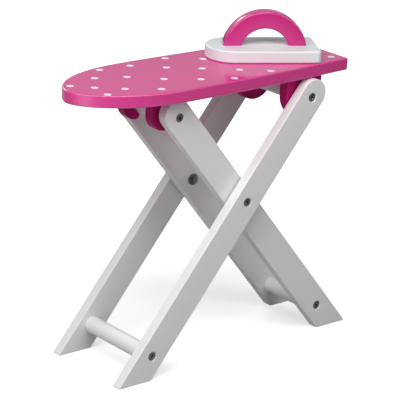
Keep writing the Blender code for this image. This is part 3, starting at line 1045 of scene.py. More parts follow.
def dot_tree() -> bpy.types.NodeTree:
    """A thin round dot of ink on every point.

    Returns:
        The geometry tree.
    """
    inputs = {
        "Points": ("Geometry", None), "Radius": ("Float", 0.0053), "Ink": ("Float", 0.00004),
        "Sides": ("Int", 40), "Size Spread": ("Float", 0.05), "Seed": ("Int", 11),
        "Material": ("Material", None),
    }
    graph, given, leave = group_tree("ink_dot", "GeometryNodeTree", inputs, {"Geometry": "Geometry"})
    drop = graph.add(
        "GeometryNodeMeshCylinder",
        {"Vertices": given["Sides"], "Radius": given["Radius"], "Depth": given["Ink"]},
        fill_type="TRIANGLE_FAN",
    )
    copies(graph, given, smoothed(graph, drop.outputs["Mesh"], DOT_CREASE), leave)
    return graph.tree


def ring_tree() -> bpy.types.NodeTree:
    """A part ring swept with a rounded section about Z and cut level along its feet.

    Returns:
        The geometry tree.
    """
    inputs = {
        "Outer Radius": ("Float", 0.062), "Inner Radius": ("Float", 0.0363), "Thickness": ("Float", 0.0215),
        "Edge Round": ("Float", 0.0032), "Foot Level": ("Float", 0.0118), "Steps": ("Int", 72),
        "Edge Steps": ("Int", 6), "Material": ("Material", None),
    }
    graph, given, leave = group_tree("ring_handle", "GeometryNodeTree", inputs, {"Geometry": "Geometry"})
    total = graph.math("ADD", given["Outer Radius"], given["Inner Radius"])
    middle = graph.math("MULTIPLY", total, 0.5)
    path = graph.add(
        "GeometryNodeCurveArc",
        {"Resolution": given["Steps"], "Radius": middle, "Start Angle": 0.0, "Sweep Angle": pi},
        mode="RADIUS",
    )
    section = graph.add(
        "GeometryNodeCurvePrimitiveQuadrilateral",
        {"Width": graph.math("SUBTRACT", given["Outer Radius"], given["Inner Radius"]),
         "Height": given["Thickness"]},
        mode="RECTANGLE",
    )
    rounded = graph.add("GeometryNodeFilletCurve", {"Curve": section.outputs[0]}, mode="POLY")
    graph.tree.links.new(given["Edge Round"], rounded.inputs["Radius"])
    graph.tree.links.new(given["Edge Steps"], rounded.inputs["Count"])
    swept = graph.add(
        "GeometryNodeCurveToMesh",
        {"Curve": path.outputs[0], "Profile Curve": rounded.outputs[0], "Fill Caps": True},
    )
    wide = graph.math("MULTIPLY", given["Outer Radius"], 4.0)
    size = graph.add("ShaderNodeCombineXYZ", {0: wide, 1: wide, 2: wide})
    block = graph.add("GeometryNodeMeshCube", {"Size": size.outputs[0]})
    low = graph.math("SUBTRACT", given["Foot Level"], graph.math("MULTIPLY", wide, 0.5))
    level = graph.add(
        "GeometryNodeMeshBoolean",
        {0: swept.outputs[0], 1: shifted(graph, block.outputs[0], 1, low)},
        operation="DIFFERENCE", solver="EXACT",
    )
    end_tree(graph, smoothed(graph, level.outputs[0], TURNED_CREASE), given["Material"], leave)
    return graph.tree


def grown(name: str, tree: bpy.types.NodeTree, base: bpy.types.Mesh, values: dict) -> bpy.types.Object:
    """Run a geometry tree and keep the plain mesh it gives.

    Args:
        name: The piece's name.
        tree: The geometry tree.
        base: The mesh that the tree starts from.
        values: Values for the tree's named inputs.

    Returns:
        An object with the plain mesh and no modifier.
    """
    seedbed = new_piece(name + "_points", base)
    modifier = seedbed.modifiers.new("grow", "NODES")
    modifier.node_group = tree
    identifiers = {
        item.name: item.identifier for item in tree.interface.items_tree if item.in_out == "INPUT"
    }
    for label, value in values.items():
        modifier[identifiers[label]] = value
    mesh = baked(seedbed)
    mesh.name = name
    bpy.data.objects.remove(seedbed, do_unlink=True)
    return new_piece(name, mesh)


@dataclass(frozen=True)
class Linkage:
    """Where the folding frames are joined, as the CAD has it."""

    board_top: float = 0.420
    board_thickness: float = 0.018
    hinge_to_nose: float = 0.3756
    hinge_to_tail: float = 0.0768
    pivot_drop: float = 0.028
    hook_to_hinge: float = 0.2266
    upper_arm: float = 0.1786
    stretcher_height: float = 0.037
    leg_width: float = 0.044
    toe_corner: float = 0.0015
    contact_gap: float = 0.0003

    @property
    def lean(self) -> float:
        """Each frame's angle from upright."""
        return asin(self.hook_to_hinge / 2 / self.upper_arm)

    @property
    def underside(self) -> float:
        """Height of the board's underside."""
        return self.board_top - self.board_thickness

    @property
    def pivot_height(self) -> float:
        """Height of both top rods."""
        return self.underside - self.pivot_drop

    @property
    def pivot_to_stretcher(self) -> float:
        """Distance along a leg from the top rod to the bottom rod."""
        return (self.pivot_height - self.stretcher_height) / cos(self.lean)

    @property
    def hinge_x(self) -> float:
        """Place of the outer frame's top rod, with the middle of the object's box at x = 0.

        Returns:
            Its x.
        """
        toe_back = self.toe_corner * (1 / tan((pi / 2 - self.lean) / 2) - 1)
        reach = self.pivot_height * tan(self.lean) + self.leg_width / 2 / cos(self.lean) - toe_back
        rear = max(self.hinge_to_tail, reach - self.hook_to_hinge)
        return (self.hinge_to_nose - rear) / 2

    @property
    def hook_x(self) -> float:
        """Place of the hooked rod."""
        return self.hinge_x - self.hook_to_hinge

    def frame_matrix(self, mirror: int) -> Matrix:
        """Axes of a frame about its top rod; mirror is 1 for the outer frame and -1 for the inner."""
        x = self.hinge_x if mirror == 1 else self.hook_x
        return Matrix.Translation((x, 0.0, self.pivot_height)) @ Matrix.Rotation(mirror * self.lean, 4, "Y")


UPRIGHT = Matrix.Rotation(pi / 2, 4, "X")


@dataclass
class Board:
    """The shaped board with its printed dots."""

    linkage: Linkage
    widest_half: float = 0.0813
    nose_to_widest: float = 0.1515
    tail_narrowing: float = 0.0126
    nose_bluntness: float = 0.021
    nose_side_pull: float = 0.113
    tail_side_pull: float = 0.146
    widest_to_taper_pull: float = 0.044
    tail_side_slope: float = 0.085
    tail_corner: float = 0.0028
    rim: float = 0.0022
    rim_support: float = 0.0005
    rim_steps: int = 6
    nose_steps: int = 64
    tail_steps: int = 36
    corner_steps: int = 12
    dot_radius: float = 0.0053
    ink: float = 0.00004
    middle_x: float = -0.01555
    dots_mm: tuple[Point, ...] = (
        (-207.2, 17.9), (-183.6, -6.2), (-188.7, -42.8), (-155.3, 32.7), (-123.9, 64.1), (-112.7, 14.9),
        (-73.6, 60.0), (-151.4, -32.1), (-75.2, -20.4), (-5.9, 66.5), (-35.2, 25.9), (-109.3, -58.8),
        (-31.6, -47.8), (5.4, -4.0), (39.3, 35.8), (46.9, -37.0), (12.0, -68.0), (81.4, -65.1),
        (208.3, -51.2), (80.0, 3.0), (78.0, 66.0), (118.0, -29.0), (120.0, 37.0), (150.0, -46.0),
        (157.0, 4.0), (155.0, 64.0), (193.0, -19.0), (196.0, 35.0),
    )

    def outline(self) -> Outline:
        """The board's plan about the hinge.

        Returns:
            The outline from the nose round and back.
        """
        nose = (-self.linkage.hinge_to_nose, 0.0)
        widest = (-self.linkage.hinge_to_nose + self.nose_to_widest, self.widest_half)
        corner = (self.linkage.hinge_to_tail, self.widest_half - self.tail_narrowing)
        side = pull_curve(
            nose, (nose[0], self.nose_bluntness), (widest[0] - self.nose_side_pull, widest[1]), widest,
            self.nose_steps,
        )
        side += pull_curve(
            widest, (widest[0] + self.widest_to_taper_pull, widest[1]),
            (corner[0] - self.tail_side_pull, corner[1] + self.tail_side_pull * self.tail_side_slope),
            corner, self.tail_steps,
        )
        rounded = filleted(
            [(*side[-2], 0.0), (*corner, self.tail_corner), (corner[0], -corner[1], 0.0)],
            self.corner_steps,
        )
        half = side[:-1] + rounded[1:-1]
        return [nose] + half + [(x, -y) for x, y in reversed(half)]

    def build(self, paint: bpy.types.Material, ink: bpy.types.Material) -> None:
        """Make the board and its dots.

        Args:
            paint: The board's lacquer.
            ink: The dots' ink.
        """
        middle = self.linkage.underside + self.linkage.board_thickness / 2
        place = Matrix.Translation((self.linkage.hinge_x, 0.0, middle))
        board = Plate("board_lacquered", self.outline(), self.linkage.board_thickness, self.rim,
                      self.rim_support, place, rim_steps=self.rim_steps).build()
        dress(board, paint)
        settle(board, Body.BOARD, ["board"])
        self.build_dots(ink)

    def build_dots(self, ink: bpy.types.Material) -> None:
        """Print the dots on the board's top.

        Args:
            ink: The dots' ink.
        """
        height = self.linkage.board_top + self.ink / 4
        spots = [Vector((x / 1000 + self.middle_x, y / 1000, height)) for x, y in self.dots_mm]
        base = spots_mesh("dot_points", spots, [Vector((0, 0, 1))] * len(spots))
        values = {"Radius": self.dot_radius, "Ink": self.ink, "Material": ink}
        dots = grown("board_dots", dot_tree(), base, values)
        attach(dots, Body.BOARD.value)
        log.info("%s rides on %s", dots.name, Body.BOARD.value)


@dataclass
class Brackets:
    """The two round brackets at the tail and the two hooks near the nose."""

    linkage: Linkage
    radius: float = 0.033
    thickness: float = 0.016
    rim: float = 0.0012
    rear_y: float = 0.0534
    front_y: float = 0.0324
    rod_radius: float = 0.0125
    turning_gap: float = 0.0003
    hook_arc: float = 0.022
    tip_radius: float = 0.0055
    tip_angle: float = radians(239)
    seat_clearance: float = 0.001
    jaw_corner: float = 0.004
    rim_support: float = 0.0008
    eye_ease: float = 0.0006
    round_steps: int = 24
    hook_steps: int = 30
    tip_steps: int = 16
    jaw_steps: int = 8

    def round_outline(self) -> Outline:
        """A straight top and a half round below.

        Returns:
            The outline about the rod.
        """
        top = self.linkage.pivot_drop - self.linkage.contact_gap
        return filleted(
            [
                (-self.radius, top, 0.0),
                (-self.radius, -self.radius, self.radius),
                (self.radius, -self.radius, self.radius),
                (self.radius, top, 0.0),
            ],
            self.round_steps,
        )

    def hook_outline(self) -> Outline:
        """A hook whose mouth opens towards the tail.

        Returns:
            The outline about the rod.
        """
        top = self.linkage.pivot_drop - self.linkage.contact_gap
        seat = self.rod_radius + self.seat_clearance
        reach = seat + self.tip_radius
        tip = Vector((reach * cos(self.tip_angle), reach * sin(self.tip_angle)))
        arc_x = self.hook_arc - self.radius
        arc_z = tip.y + sqrt((self.hook_arc - self.tip_radius) ** 2 - (tip.x - arc_x) ** 2)
        leave = atan2(tip.y - arc_z, tip.x - arc_x) + 2 * pi
        points = [(-self.radius, top)]
        points += arc((arc_x, arc_z), self.hook_arc, pi, leave, self.hook_steps)
        points += arc((tip.x, tip.y), self.tip_radius, leave, self.tip_angle + pi, self.tip_steps)
        points += arc((0.0, 0.0), seat, self.tip_angle, pi / 2, self.hook_steps)
        jaw = filleted(
            [(0.0, seat, 0.0), (self.radius, seat, self.jaw_corner), (self.radius, top, 0.0)],
            self.jaw_steps,
        )
        return points + jaw[1:]

    def build(self, paint: bpy.types.Material) -> None:
        """Make the four brackets.

        Args:
            paint: The brackets' paint.
        """
        for side in Side:
            self.build_one(f"rear_bracket_{side.word}", self.round_outline(), self.linkage.hinge_x,
                           side.value * self.rear_y, paint, True)
            self.build_one(f"front_bracket_{side.word}", self.hook_outline(), self.linkage.hook_x,
                           side.value * self.front_y, paint, False)

    def build_one(
        self, node: str, outline: Outline, x: float, y: float, paint: bpy.types.Material, eye: bool
    ) -> None:
        """Make one bracket.

        Args:
            node: The node that it stands for.
            outline: Its outline about the pivot.
            x: Place of its pivot along the board.
            y: Its middle across the board.
            paint: Its paint.
            eye: Whether a rod turns in an eye.
        """
        half = self.thickness / 2
        bore = self.rod_radius + self.turning_gap
        holes = [Hole(0.0, 0.0, -half, half, bore, self.eye_ease, self.eye_ease)] if eye else []
        place = Matrix.Translation((x, y, self.linkage.pivot_height)) @ UPRIGHT
        piece = Plate(node + "_painted", outline, self.thickness, self.rim, self.rim_support, place,
                      holes).build()
        dress(piece, paint)
        settle(piece, Body.BOARD, [node])


@dataclass
class LegFrame:
    """Two legs with the rods and the fasteners that ride with them."""

    linkage: Linkage
    prefix: str
    body: Body
    mirror: int
    leg_y: float
    seed: int
    thickness: float = 0.016
    head_clearance: float = 0.0002
    rim: float = 0.0012
    heel_corner: float = 0.006
    rod_radius: float = 0.0125
    head_radius: float = 0.0058
    head_height: float = 0.004
    head_sink: float = 0.001
    recess_clearance: float = 0.0007
    shank_radius: float = 0.003
    bite: float = 0.024
    mouth_ease: float = 0.0010
    rim_support: float = 0.00028
    corner_steps: int = 20

    @property
    def recess_depth(self) -> float:
        """How deep a screw's recess goes."""
        return self.head_sink + self.head_height + self.linkage.contact_gap

    @property
    def matrix(self) -> Matrix:
        """The frame's axes about its top rod."""
        return self.linkage.frame_matrix(self.mirror)

    def outline(self) -> Outline:
        """A leg's outline about its top rod, its foot level with the floor.

        Returns:
            The outline's points.
        """
        half = self.linkage.leg_width / 2
        lean = self.linkage.lean
        head = self.linkage.pivot_drop - self.head_clearance
        foot = -self.linkage.pivot_height / cos(lean)
        corners = [
            (-half, foot - half * tan(lean), self.linkage.toe_corner),
            (half, foot + half * tan(lean), self.heel_corner),
            (half, head, half),
            (-half, head, half),
        ]
        return [(self.mirror * x, y) for x, y in filleted(corners, self.corner_steps)]

    def screw_hole(self, drop: float, outward: int) -> list[Hole]:
        """A screw's through hole and the recess for its head.

        Args:
            drop: How far below the top rod it is.
            outward: 1 where the leg's outer face is the plate's top, and -1 where it is its underside.

        Returns:
            The two holes.
        """
        half = self.thickness / 2
        bore = self.shank_radius + self.linkage.contact_gap
        room = self.head_radius + self.recess_clearance
        through = Hole(0.0, -drop, -half - CUT_PAST, half + CUT_PAST, bore)
        if outward > 0:
            recess = Hole(0.0, -drop, half - self.recess_depth, half, room, 0.0, self.mouth_ease)
        else:
            recess = Hole(0.0, -drop, -half, -half + self.recess_depth, room, self.mouth_ease, 0.0)
        return [through, recess]

    def crossing_hole(self, outward: int) -> list[Hole]:
        """The hole where the legs cross."""
        return self.screw_hole(self.linkage.upper_arm, outward)

    def build_legs(self, paint: bpy.types.Material) -> None:
        """Make the left and the right leg.

        Args:
            paint: The legs' paint.
        """
        for side in Side:
            outward = -side.value
            holes = self.screw_hole(0.0, outward) + self.screw_hole(self.linkage.pivot_to_stretcher, outward)
            holes += self.crossing_hole(outward)
            node = f"{self.prefix}_leg_{side.word}"
            place = self.matrix @ Matrix.Translation((0.0, side.value * self.leg_y, 0.0)) @ UPRIGHT
            leg = Plate(node + "_painted", self.outline(), self.thickness, self.rim, self.rim_support,
                        place, holes).build()
            dress(leg, paint)
            settle(leg, self.body, [node])

    def build_rods(self, paint: bpy.types.Material, tree: bpy.types.NodeTree) -> None:
        """Make the top and the bottom rod.

        Args:
            paint: The rods' paint.
            tree: The rod's geometry tree.
        """
        length = 2 * (self.leg_y - self.thickness / 2 - self.linkage.contact_gap)
        spots = [Vector((0.0, 0.0, 0.0)), Vector((0.0, 0.0, -self.linkage.pivot_to_stretcher))]
        base = spots_mesh("rod_points", spots, [Vector((0, 1, 0))] * 2)
        values = {"Radius": self.rod_radius, "Length": length, "Material": paint}
        rods = grown(f"{self.prefix}_rods", tree, base, values)
        rods.data.transform(self.matrix)
        settle(rods, self.body, [f"{self.prefix}_top_dowel", f"{self.prefix}_bottom_dowel"])

    def screw_drops(self) -> dict[str, float]:
        """How far below the top rod each kind of screw sits, by its node's name."""
        bottom = self.linkage.pivot_to_stretcher
        return {f"{self.prefix}_top_screw": 0.0, f"{self.prefix}_bottom_screw": bottom}

    def build_screws(self, steel: bpy.types.Material, tree: bpy.types.NodeTree) -> None:
        """Make the recessed socket screws.

        Args:
            steel: The screws' steel.
            tree: The fastener's geometry tree.
        """
        seat = self.leg_y + self.thickness / 2 - self.head_sink - self.head_height
        spots = []
        facings = []
        nodes = []
        for side in Side:
            for node, drop in self.screw_drops().items():
                spots.append(Vector((0.0, side.value * seat, -drop)))
                facings.append(Vector((0.0, side.value, 0.0)))
                nodes.append(f"{node}_{side.word}")
        values = {
            "Head Radius": self.head_radius, "Head Height": self.head_height,
            "Shank Radius": self.shank_radius, "Shank Length": self.thickness - self.recess_depth + self.bite,
            "Seed": self.seed, "Material": steel,
        }
        screws = grown(f"{self.prefix}_screws", tree, spots_mesh("screw_points", spots, facings), values)
        screws.data.transform(self.matrix)
        settle(screws, self.body, nodes)


@dataclass
class OuterFrame(LegFrame):
    """The frame that turns in the rear brackets and carries the crossing bolts."""

    prefix: str = "outer"
    body: Body = Body.OUTER
    mirror: int = 1
    leg_y: float = 0.0724
    seed: int = 3

    def screw_drops(self) -> dict[str, float]:
        """The frame's own screws and the crossing bolts."""
        return {**super().screw_drops(), "crossing_bolt": self.linkage.upper_arm}


@dataclass
class InnerFrame(LegFrame):
    """The frame whose top rod lies in the hooks; it carries the sleeve nuts."""

    prefix: str = "inner"
    body: Body = Body.INNER
    mirror: int = -1
    leg_y: float = 0.0534
    seed: int = 8
    flange_radius: float = 0.0085
    flange_thickness: float = 0.002
    flange_ease: float = 0.0007
    barrel_radius: float = 0.0048
    barrel_length: float = 0.0125
    socket_radius: float = 0.0036
    socket_depth: float = 0.0015
    nut_sides: int = 48
    nut_seed: int = 6

    def crossing_hole(self, outward: int) -> list[Hole]:
        """The sleeve nut's hole, which is the same from either face.

        Args:
            outward: Not used here, because the hole goes straight through.

        Returns:
            The one hole.
        """
        half = self.thickness / 2
        radius = self.barrel_radius + self.linkage.contact_gap
        return [Hole(0.0, -self.linkage.upper_arm, -half - CUT_PAST, half + CUT_PAST, radius)]

    def build_nuts(self, steel: bpy.types.Material, tree: bpy.types.NodeTree) -> None:
        """Make the flanged sleeve nuts on the legs' inner faces.

        Args:
            steel: The nuts' steel.
            tree: The fastener's geometry tree.
        """
        seat = self.leg_y - self.thickness / 2 - self.linkage.contact_gap
        spots = [Vector((0.0, side.value * seat, -self.linkage.upper_arm)) for side in Side]
        facings = [Vector((0.0, -side.value, 0.0)) for side in Side]
        values = {
            "Head Radius": self.flange_radius, "Head Height": self.flange_thickness,
            "Rim Ease": self.flange_ease, "Socket Radius": self.socket_radius,
            "Socket Depth": self.socket_depth, "Shank Radius": self.barrel_radius,
            "Shank Length": self.barrel_length, "Sides": self.nut_sides, "Seed": self.nut_seed,
            "Material": steel,
        }
        nuts = grown("crossing_nuts", tree, spots_mesh("nut_points", spots, facings), values)
        nuts.data.transform(self.matrix)
        settle(nuts, self.body, [f"crossing_nut_{side.word}" for side in Side])


@dataclass
class Iron:
    """The loose toy iron: a thick base and a part-ring handle."""

    linkage: Linkage
    length: float = 0.1635
    width: float = 0.0865
    base_thickness: float = 0.0175
    nose_length: float = 0.042
    tail_corner: float = 0.006
    rim: float = 0.002
    yaw: float = radians(149.5)
    from_hinge: float = -0.028
    from_middle: float = 0.0055
    outer_radius: float = 0.062
    inner_radius: float = 0.0363
    centre_drop: float = 0.0115
    thickness: float = 0.0215
    setback: float = 0.0042
    edge_round: float = 0.0032
    rim_support: float = 0.002
    rim_steps: int = 6
    corner_steps: int = 12
    nose_steps: int = 56
    screw_bore: float = 0.0023
    screw_recess_radius: float = 0.0049
    screw_recess_depth: float = 0.005
    screw_recess_ease: float = 0.0003

    @property
    def matrix(self) -> Matrix:
        """The iron's axes on the board's top.

        Returns:
            The matrix from the iron's axes to the scene's.
        """
        place = (self.linkage.hinge_x + self.from_hinge, self.from_middle,
                 self.linkage.board_top + self.linkage.contact_gap)
        return Matrix.Translation(place) @ Matrix.Rotation(self.yaw, 4, "Z")

    def outline(self) -> Outline:
        """A square tail and a long rounded nose.

        Returns:
            The outline's points, the nose towards +X.
        """
        half = self.width / 2
        start = self.length / 2 - self.nose_length
        tail = -self.length / 2
        points = filleted(
            [(start, half, 0.0), (tail, half, self.tail_corner), (tail, -half, self.tail_corner),
             (start, -half, 0.0)],
            self.corner_steps,
        )
        for step in range(1, self.nose_steps):
            angle = -pi / 2 + pi * step / self.nose_steps
            points.append((start + self.nose_length * cos(angle), half * sin(angle)))
        return points

    def build_base(self, paint: bpy.types.Material) -> None:
        """Make the base.

        Args:
            paint: The base's paint.
        """
        place = self.matrix @ Matrix.Translation((0.0, 0.0, self.base_thickness / 2))
        base = Plate("iron_base_painted", self.outline(), self.base_thickness, self.rim,
                     self.rim_support, place, self.screw_holes(), rim_steps=self.rim_steps).build()
        dress(base, paint)
        settle(base, Body.IRON, ["iron_base"])

    def screw_holes(self) -> list[Hole]:
        """The two screws' holes, with room for their heads underneath.

        Returns:
            A bore and a recess for each screw.
        """
        outer = sqrt(self.outer_radius ** 2 - self.centre_drop ** 2)
        inner = sqrt(self.inner_radius ** 2 - self.centre_drop ** 2)
        along = (outer + inner) / 2
        half = self.base_thickness / 2
        holes = []
        for x in (-along - self.setback, along - self.setback):
            holes.append(Hole(x, 0.0, -half - CUT_PAST, half + CUT_PAST, self.screw_bore))
            holes.append(Hole(x, 0.0, -half, self.screw_recess_depth - half, self.screw_recess_radius,
                              self.screw_recess_ease, 0.0))
        return holes

    def build_handle(self, paint: bpy.types.Material, tree: bpy.types.NodeTree) -> None:
        """Make the handle.

        Args:
            paint: The handle's paint.
            tree: The handle's geometry tree.
        """
        base = spots_mesh("handle_seed", [Vector((0, 0, 0))], [Vector((0, 0, 1))])
        values = {
            "Outer Radius": self.outer_radius, "Inner Radius": self.inner_radius,
            "Thickness": self.thickness, "Edge Round": self.edge_round,
            "Foot Level": self.centre_drop + self.linkage.contact_gap, "Material": paint,
        }
        handle = grown("iron_handle_painted", tree, base, values)
        centre = (-self.setback, 0.0, self.base_thickness - self.centre_drop)
        handle.data.transform(self.matrix @ Matrix.Translation(centre) @ UPRIGHT)
        settle(handle, Body.IRON, ["iron_handle"])


@dataclass(frozen=True)
class Lamp:
    """A soft square lamp: its place, what it looks at, its width in metres and its power in watts."""

    name: str
    place: Point3
    aim: Point3
    size: float
    power: float

    def build(self) -> None:
        """Add the lamp to the scene."""
        data = bpy.data.lights.new(self.name, "AREA")
        data.shape = "SQUARE"
        data.size = self.size
        data.energy = self.power
        lamp = bpy.data.objects.new(self.name, data)
        bpy.context.scene.collection.objects.link(lamp)
        turn = (Vector(self.aim) - Vector(self.place)).to_track_quat("-Z", "Y")
        lamp.matrix_world = Matrix.Translation(self.place) @ turn.to_matrix().to_4x4()


@dataclass
class Studio:
    """The floor, the lamps, the surroundings and the camera.

    Levels are shares of white. A reflection shows the sky and the floor dimmer than the camera sees
    them, but for one bright stretch of the floor to the left, which is no brighter than white.
    """

    camera_place: Point3 = (-1.830056, -2.219799, 1.196747)
    yaw: float = 0.6891890
    pitch: float = -0.3271304
    roll: float = 0.0394277
    lens: float = 189.0064
    sensor: float = 36.0
    mirrored_sky: float = 0.54
    mirrored_floor: float = 0.12
    bounce: float = 0.35
    floor_radius: float = 14.0
    floor_sides: int = 96
    floor_shades: tuple[Colour, Colour] = ((0.86, 0.86, 0.86, 1.0), (0.88, 0.88, 0.88, 1.0))
    fill_levels: Point = (0.50, 1.0)
    fill_reach: Point = (0.15, 0.85)
    bright_stretch: Point3 = (-1.15, -0.35, 0.0)
    stretch_levels: Point = (1.0, 0.0)
    stretch_reach: Point = (0.20, 1.00)
    lamps: tuple[Lamp, ...] = (
        Lamp("key", (-0.475, -0.76, 1.70), (0.0, 0.0, 0.22), 1.2, 18.6),
        Lamp("left", (-2.05, -0.35, 1.80), (0.0, 0.0, 0.22), 1.4, 32.0),
        Lamp("front", (0.40, -1.55, 1.20), (0.0, 0.0, 0.26), 0.9, 6.2),
        Lamp("low_left", (-1.45, -0.42, 0.24), (-0.1, 0.0, 0.40), 0.55, 1.6),
        Lamp("behind", (0.45, 2.50, 1.70), (0.0, 0.0, 0.22), 1.2, 15.0),
    )

    def build_camera(self) -> None:
        """Put the camera at the photograph's view."""
        forward = Vector((sin(self.yaw) * cos(self.pitch), cos(self.yaw) * cos(self.pitch), sin(self.pitch)))
        right = Vector((cos(self.yaw), -sin(self.yaw), 0.0))
        up = right.cross(forward)
        across = right * cos(self.roll) + up * sin(self.roll)
        upward = up * cos(self.roll) - right * sin(self.roll)
        turn = Matrix((across, upward, -forward)).transposed().to_4x4()
        data = bpy.data.cameras.new("camera")
        data.lens = self.lens
        data.sensor_width = self.sensor
        camera = bpy.data.objects.new("camera", data)
        bpy.context.scene.collection.objects.link(camera)
        camera.matrix_world = Matrix.Translation(self.camera_place) @ turn
        bpy.context.scene.camera = camera

    def seen_white(self, graph: Graph, mirrored: float) -> bpy.types.NodeSocket:
        """How white the surroundings look to each kind of ray.

        Args:
            graph: The material's graph.
            mirrored: The level that a reflection shows.

        Returns:
            1 where the camera or a clear piece looks, the mirrored level in a reflection, and else 0.
        """
        path = graph.add("ShaderNodeLightPath")
        through = graph.math("MAXIMUM", path.outputs["Is Camera Ray"], path.outputs["Is Transmission Ray"])
        mirror = graph.math("MULTIPLY", path.outputs["Is Glossy Ray"], mirrored)
        return graph.math("MAXIMUM", through, mirror)

    def build_surroundings(self) -> None:
        """A world that is white to the camera, dimmer in a reflection, and dark to every other ray."""
        world = bpy.data.worlds.new("surroundings")
        bpy.context.scene.world = world
        world.use_nodes = True
        world.node_tree.nodes.clear()
        graph = Graph(world.node_tree)
        level = self.seen_white(graph, self.mirrored_sky)
        sky = graph.add("ShaderNodeBackground", {"Color": (1.0, 1.0, 1.0, 1.0), "Strength": level})
        graph.add("ShaderNodeOutputWorld", {0: sky.outputs[0]})

    def around(
        self, graph: Graph, where: bpy.types.NodeSocket, centre: Point3, levels: Point, reach: Point
    ) -> bpy.types.NodeSocket:
        """A level that changes smoothly with the distance from a place.

        Args:
            graph: The material's graph.
            where: The object coordinates.
            centre: The place.
            levels: The level near it and the level far from it.
            reach: The distances at which these begin.

        Returns:
            The level.
        """
        away = graph.add("ShaderNodeVectorMath", {0: where, 1: centre}, operation="DISTANCE")
        feeds = {"Value": away.outputs["Value"], "From Min": reach[0], "From Max": reach[1],
                 "To Min": levels[0], "To Max": levels[1]}
        return graph.add("ShaderNodeMapRange", feeds, interpolation_type="SMOOTHSTEP").outputs[0]

    def floor_material(self) -> bpy.types.Material:
        """Build the floor's material.

        Returns:
            A matt pale surface with a glow, so that it looks white and still takes the shadow.
        """
        pale, paler = self.floor_shades
        made, graph, where = blank_material("studio_floor", pale)
        speckle = graph.add("ShaderNodeTexNoise", {"Vector": where, "Scale": 900.0})
        shade = graph.blend(speckle.outputs[0], pale, paler)
        path = graph.add("ShaderNodeLightPath")
        dim = (self.bounce, self.bounce, self.bounce, 1.0)
        tone = graph.blend(path.outputs["Is Diffuse Ray"], shade, dim)
        matt = graph.add("ShaderNodeBsdfDiffuse", {"Color": tone})
        fill = self.around(graph, where, (0.0, 0.0, 0.0), self.fill_levels, self.fill_reach)
        filled = graph.math("MULTIPLY", self.seen_white(graph, self.mirrored_floor), fill)
        stretch = self.around(graph, where, self.bright_stretch, self.stretch_levels, self.stretch_reach)
        mirrored = graph.math("MULTIPLY", stretch, path.outputs["Is Glossy Ray"])
        glow = graph.add("ShaderNodeEmission", {"Strength": graph.math("MAXIMUM", filled, mirrored)})
        graph.finish(graph.add("ShaderNodeAddShader", {0: matt.outputs[0], 1: glow.outputs[0]}))
        return made

    def build_floor(self) -> None:
        """A pale floor that keeps the object's shadow."""
        built = bmesh.new()
        bmesh.ops.create_circle(built, cap_ends=True, segments=self.floor_sides, radius=self.floor_radius)
        mesh = bpy.data.meshes.new("studio_floor")
        built.to_mesh(mesh)
        built.free()
        floor = new_piece("studio_floor", mesh)
        dress(floor, self.floor_material())

    def build(self) -> None:
        """Set up the studio."""
        self.build_camera()
        self.build_surroundings()
        self.build_floor()
        for lamp in self.lamps:
            lamp.build()
        bpy.context.scene.view_settings.view_transform = "Standard"


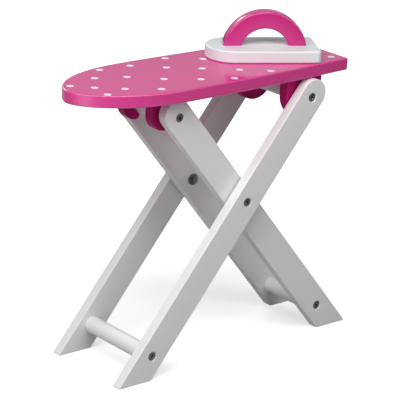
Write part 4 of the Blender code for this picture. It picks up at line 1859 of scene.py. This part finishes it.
def toy_paints(lean: float) -> list[Paint]:
    """List the toy's paints.

    Args:
        lean: The frames' angle from upright, which the grain of the legs follows.

    Returns:
        A paint for each kind of piece.
    """
    along_board = (0.0, pi / 2, 0.0)
    return [
        # The board's and the handle's larger rim shares give a stronger painted highlight, a paler band along
        # their rounded edges
        Paint("board_lacquer", PINK, PALE_PINK, RAW_WOOD, 0.18, turn=along_board, ripple=0.30, grain=0.25,
              bump=0.08, wear=0.12, edge_build=0.35, wall_rough=0.09, specular=0.82, seed=1.0),
        Paint("bracket_paint", BRACKET_PINK, DEEP_PINK, RAW_WOOD, 0.40, grain=0.35, bump=0.12, wear=0.2,
              specular=0.06, seed=2.0),
        Paint("handle_paint", DEEP_PINK, PALE_PINK, RAW_WOOD, 0.15, grain=0.3, bump=0.08, wear=0.2,
              edge_build=0.45, specular=0.6, seed=3.0),
        Paint("outer_leg_paint", WHITE, WARM_WHITE, RAW_WOOD, 0.42, turn=(0.0, -lean, 0.0), bump=0.3,
              wear=0.12, seed=4.0),
        Paint("inner_leg_paint", WHITE, WARM_WHITE, RAW_WOOD, 0.42, turn=(0.0, lean, 0.0), bump=0.3,
              wear=0.12, seed=5.0),
        Paint("rod_paint", WHITE, WARM_WHITE, RAW_WOOD, 0.40, turn=(pi / 2, 0.0, 0.0), bump=0.25,
              wear=0.1, seed=6.0),
        Paint("iron_paint", IRON_WHITE, WARM_WHITE, RAW_WOOD, 0.34, turn=along_board, bump=0.2,
              wear=0.12, seed=7.0),
    ]


def main() -> None:
    """Build every piece in order."""
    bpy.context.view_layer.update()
    kit = ShaderKit.build()
    linkage = Linkage()
    looks = {paint.name: paint.material(kit) for paint in toy_paints(linkage.lean)}
    ink = Ink("dot_ink", (0.98, 0.87, 0.94, 1.0), (0.80, 0.45, 0.62, 1.0)).material()
    screw_steel = Steel("dark_screw_steel", (0.15, 0.15, 0.15, 1.0), (0.04, 0.04, 0.04, 1.0), 0.20).material()
    nut_steel = Steel("nut_steel", (0.17, 0.17, 0.165, 1.0), (0.05, 0.05, 0.05, 1.0), 0.20).material()
    beech = BareWood("bare_beech", (0.66, 0.46, 0.28, 1.0), (0.48, 0.29, 0.15, 1.0)).material()
    plastic = Moulded("grey_plastic", (0.30, 0.30, 0.31, 1.0), (0.38, 0.38, 0.39, 1.0)).material()

    Board(linkage).build(looks["board_lacquer"], ink)
    Brackets(linkage).build(looks["bracket_paint"])
    rods = rod_tree()
    fasteners = fastener_tree()
    outer = OuterFrame(linkage)
    inner = InnerFrame(linkage)
    for part in (outer, inner):
        part.build_legs(looks[f"{part.prefix}_leg_paint"])
        part.build_rods(looks["rod_paint"], rods)
        part.build_screws(screw_steel, fasteners)
    inner.build_nuts(nut_steel, fasteners)
    iron = Iron(linkage)
    iron.build_base(looks["iron_paint"])
    iron.build_handle(looks["handle_paint"], ring_tree())
    for side in Side:
        redress_node(f"crossing_spacer_{side.word}", plastic)
        for place in ("front", "rear"):
            for end in ("front", "rear"):
                redress_node(f"{place}_bracket_{side.word}_{end}_pin", beech)
    for end in ("front", "rear"):
        redress_node(f"iron_screw_{end}", nut_steel)
    Studio().build()


if __name__ == "__main__":
    main()
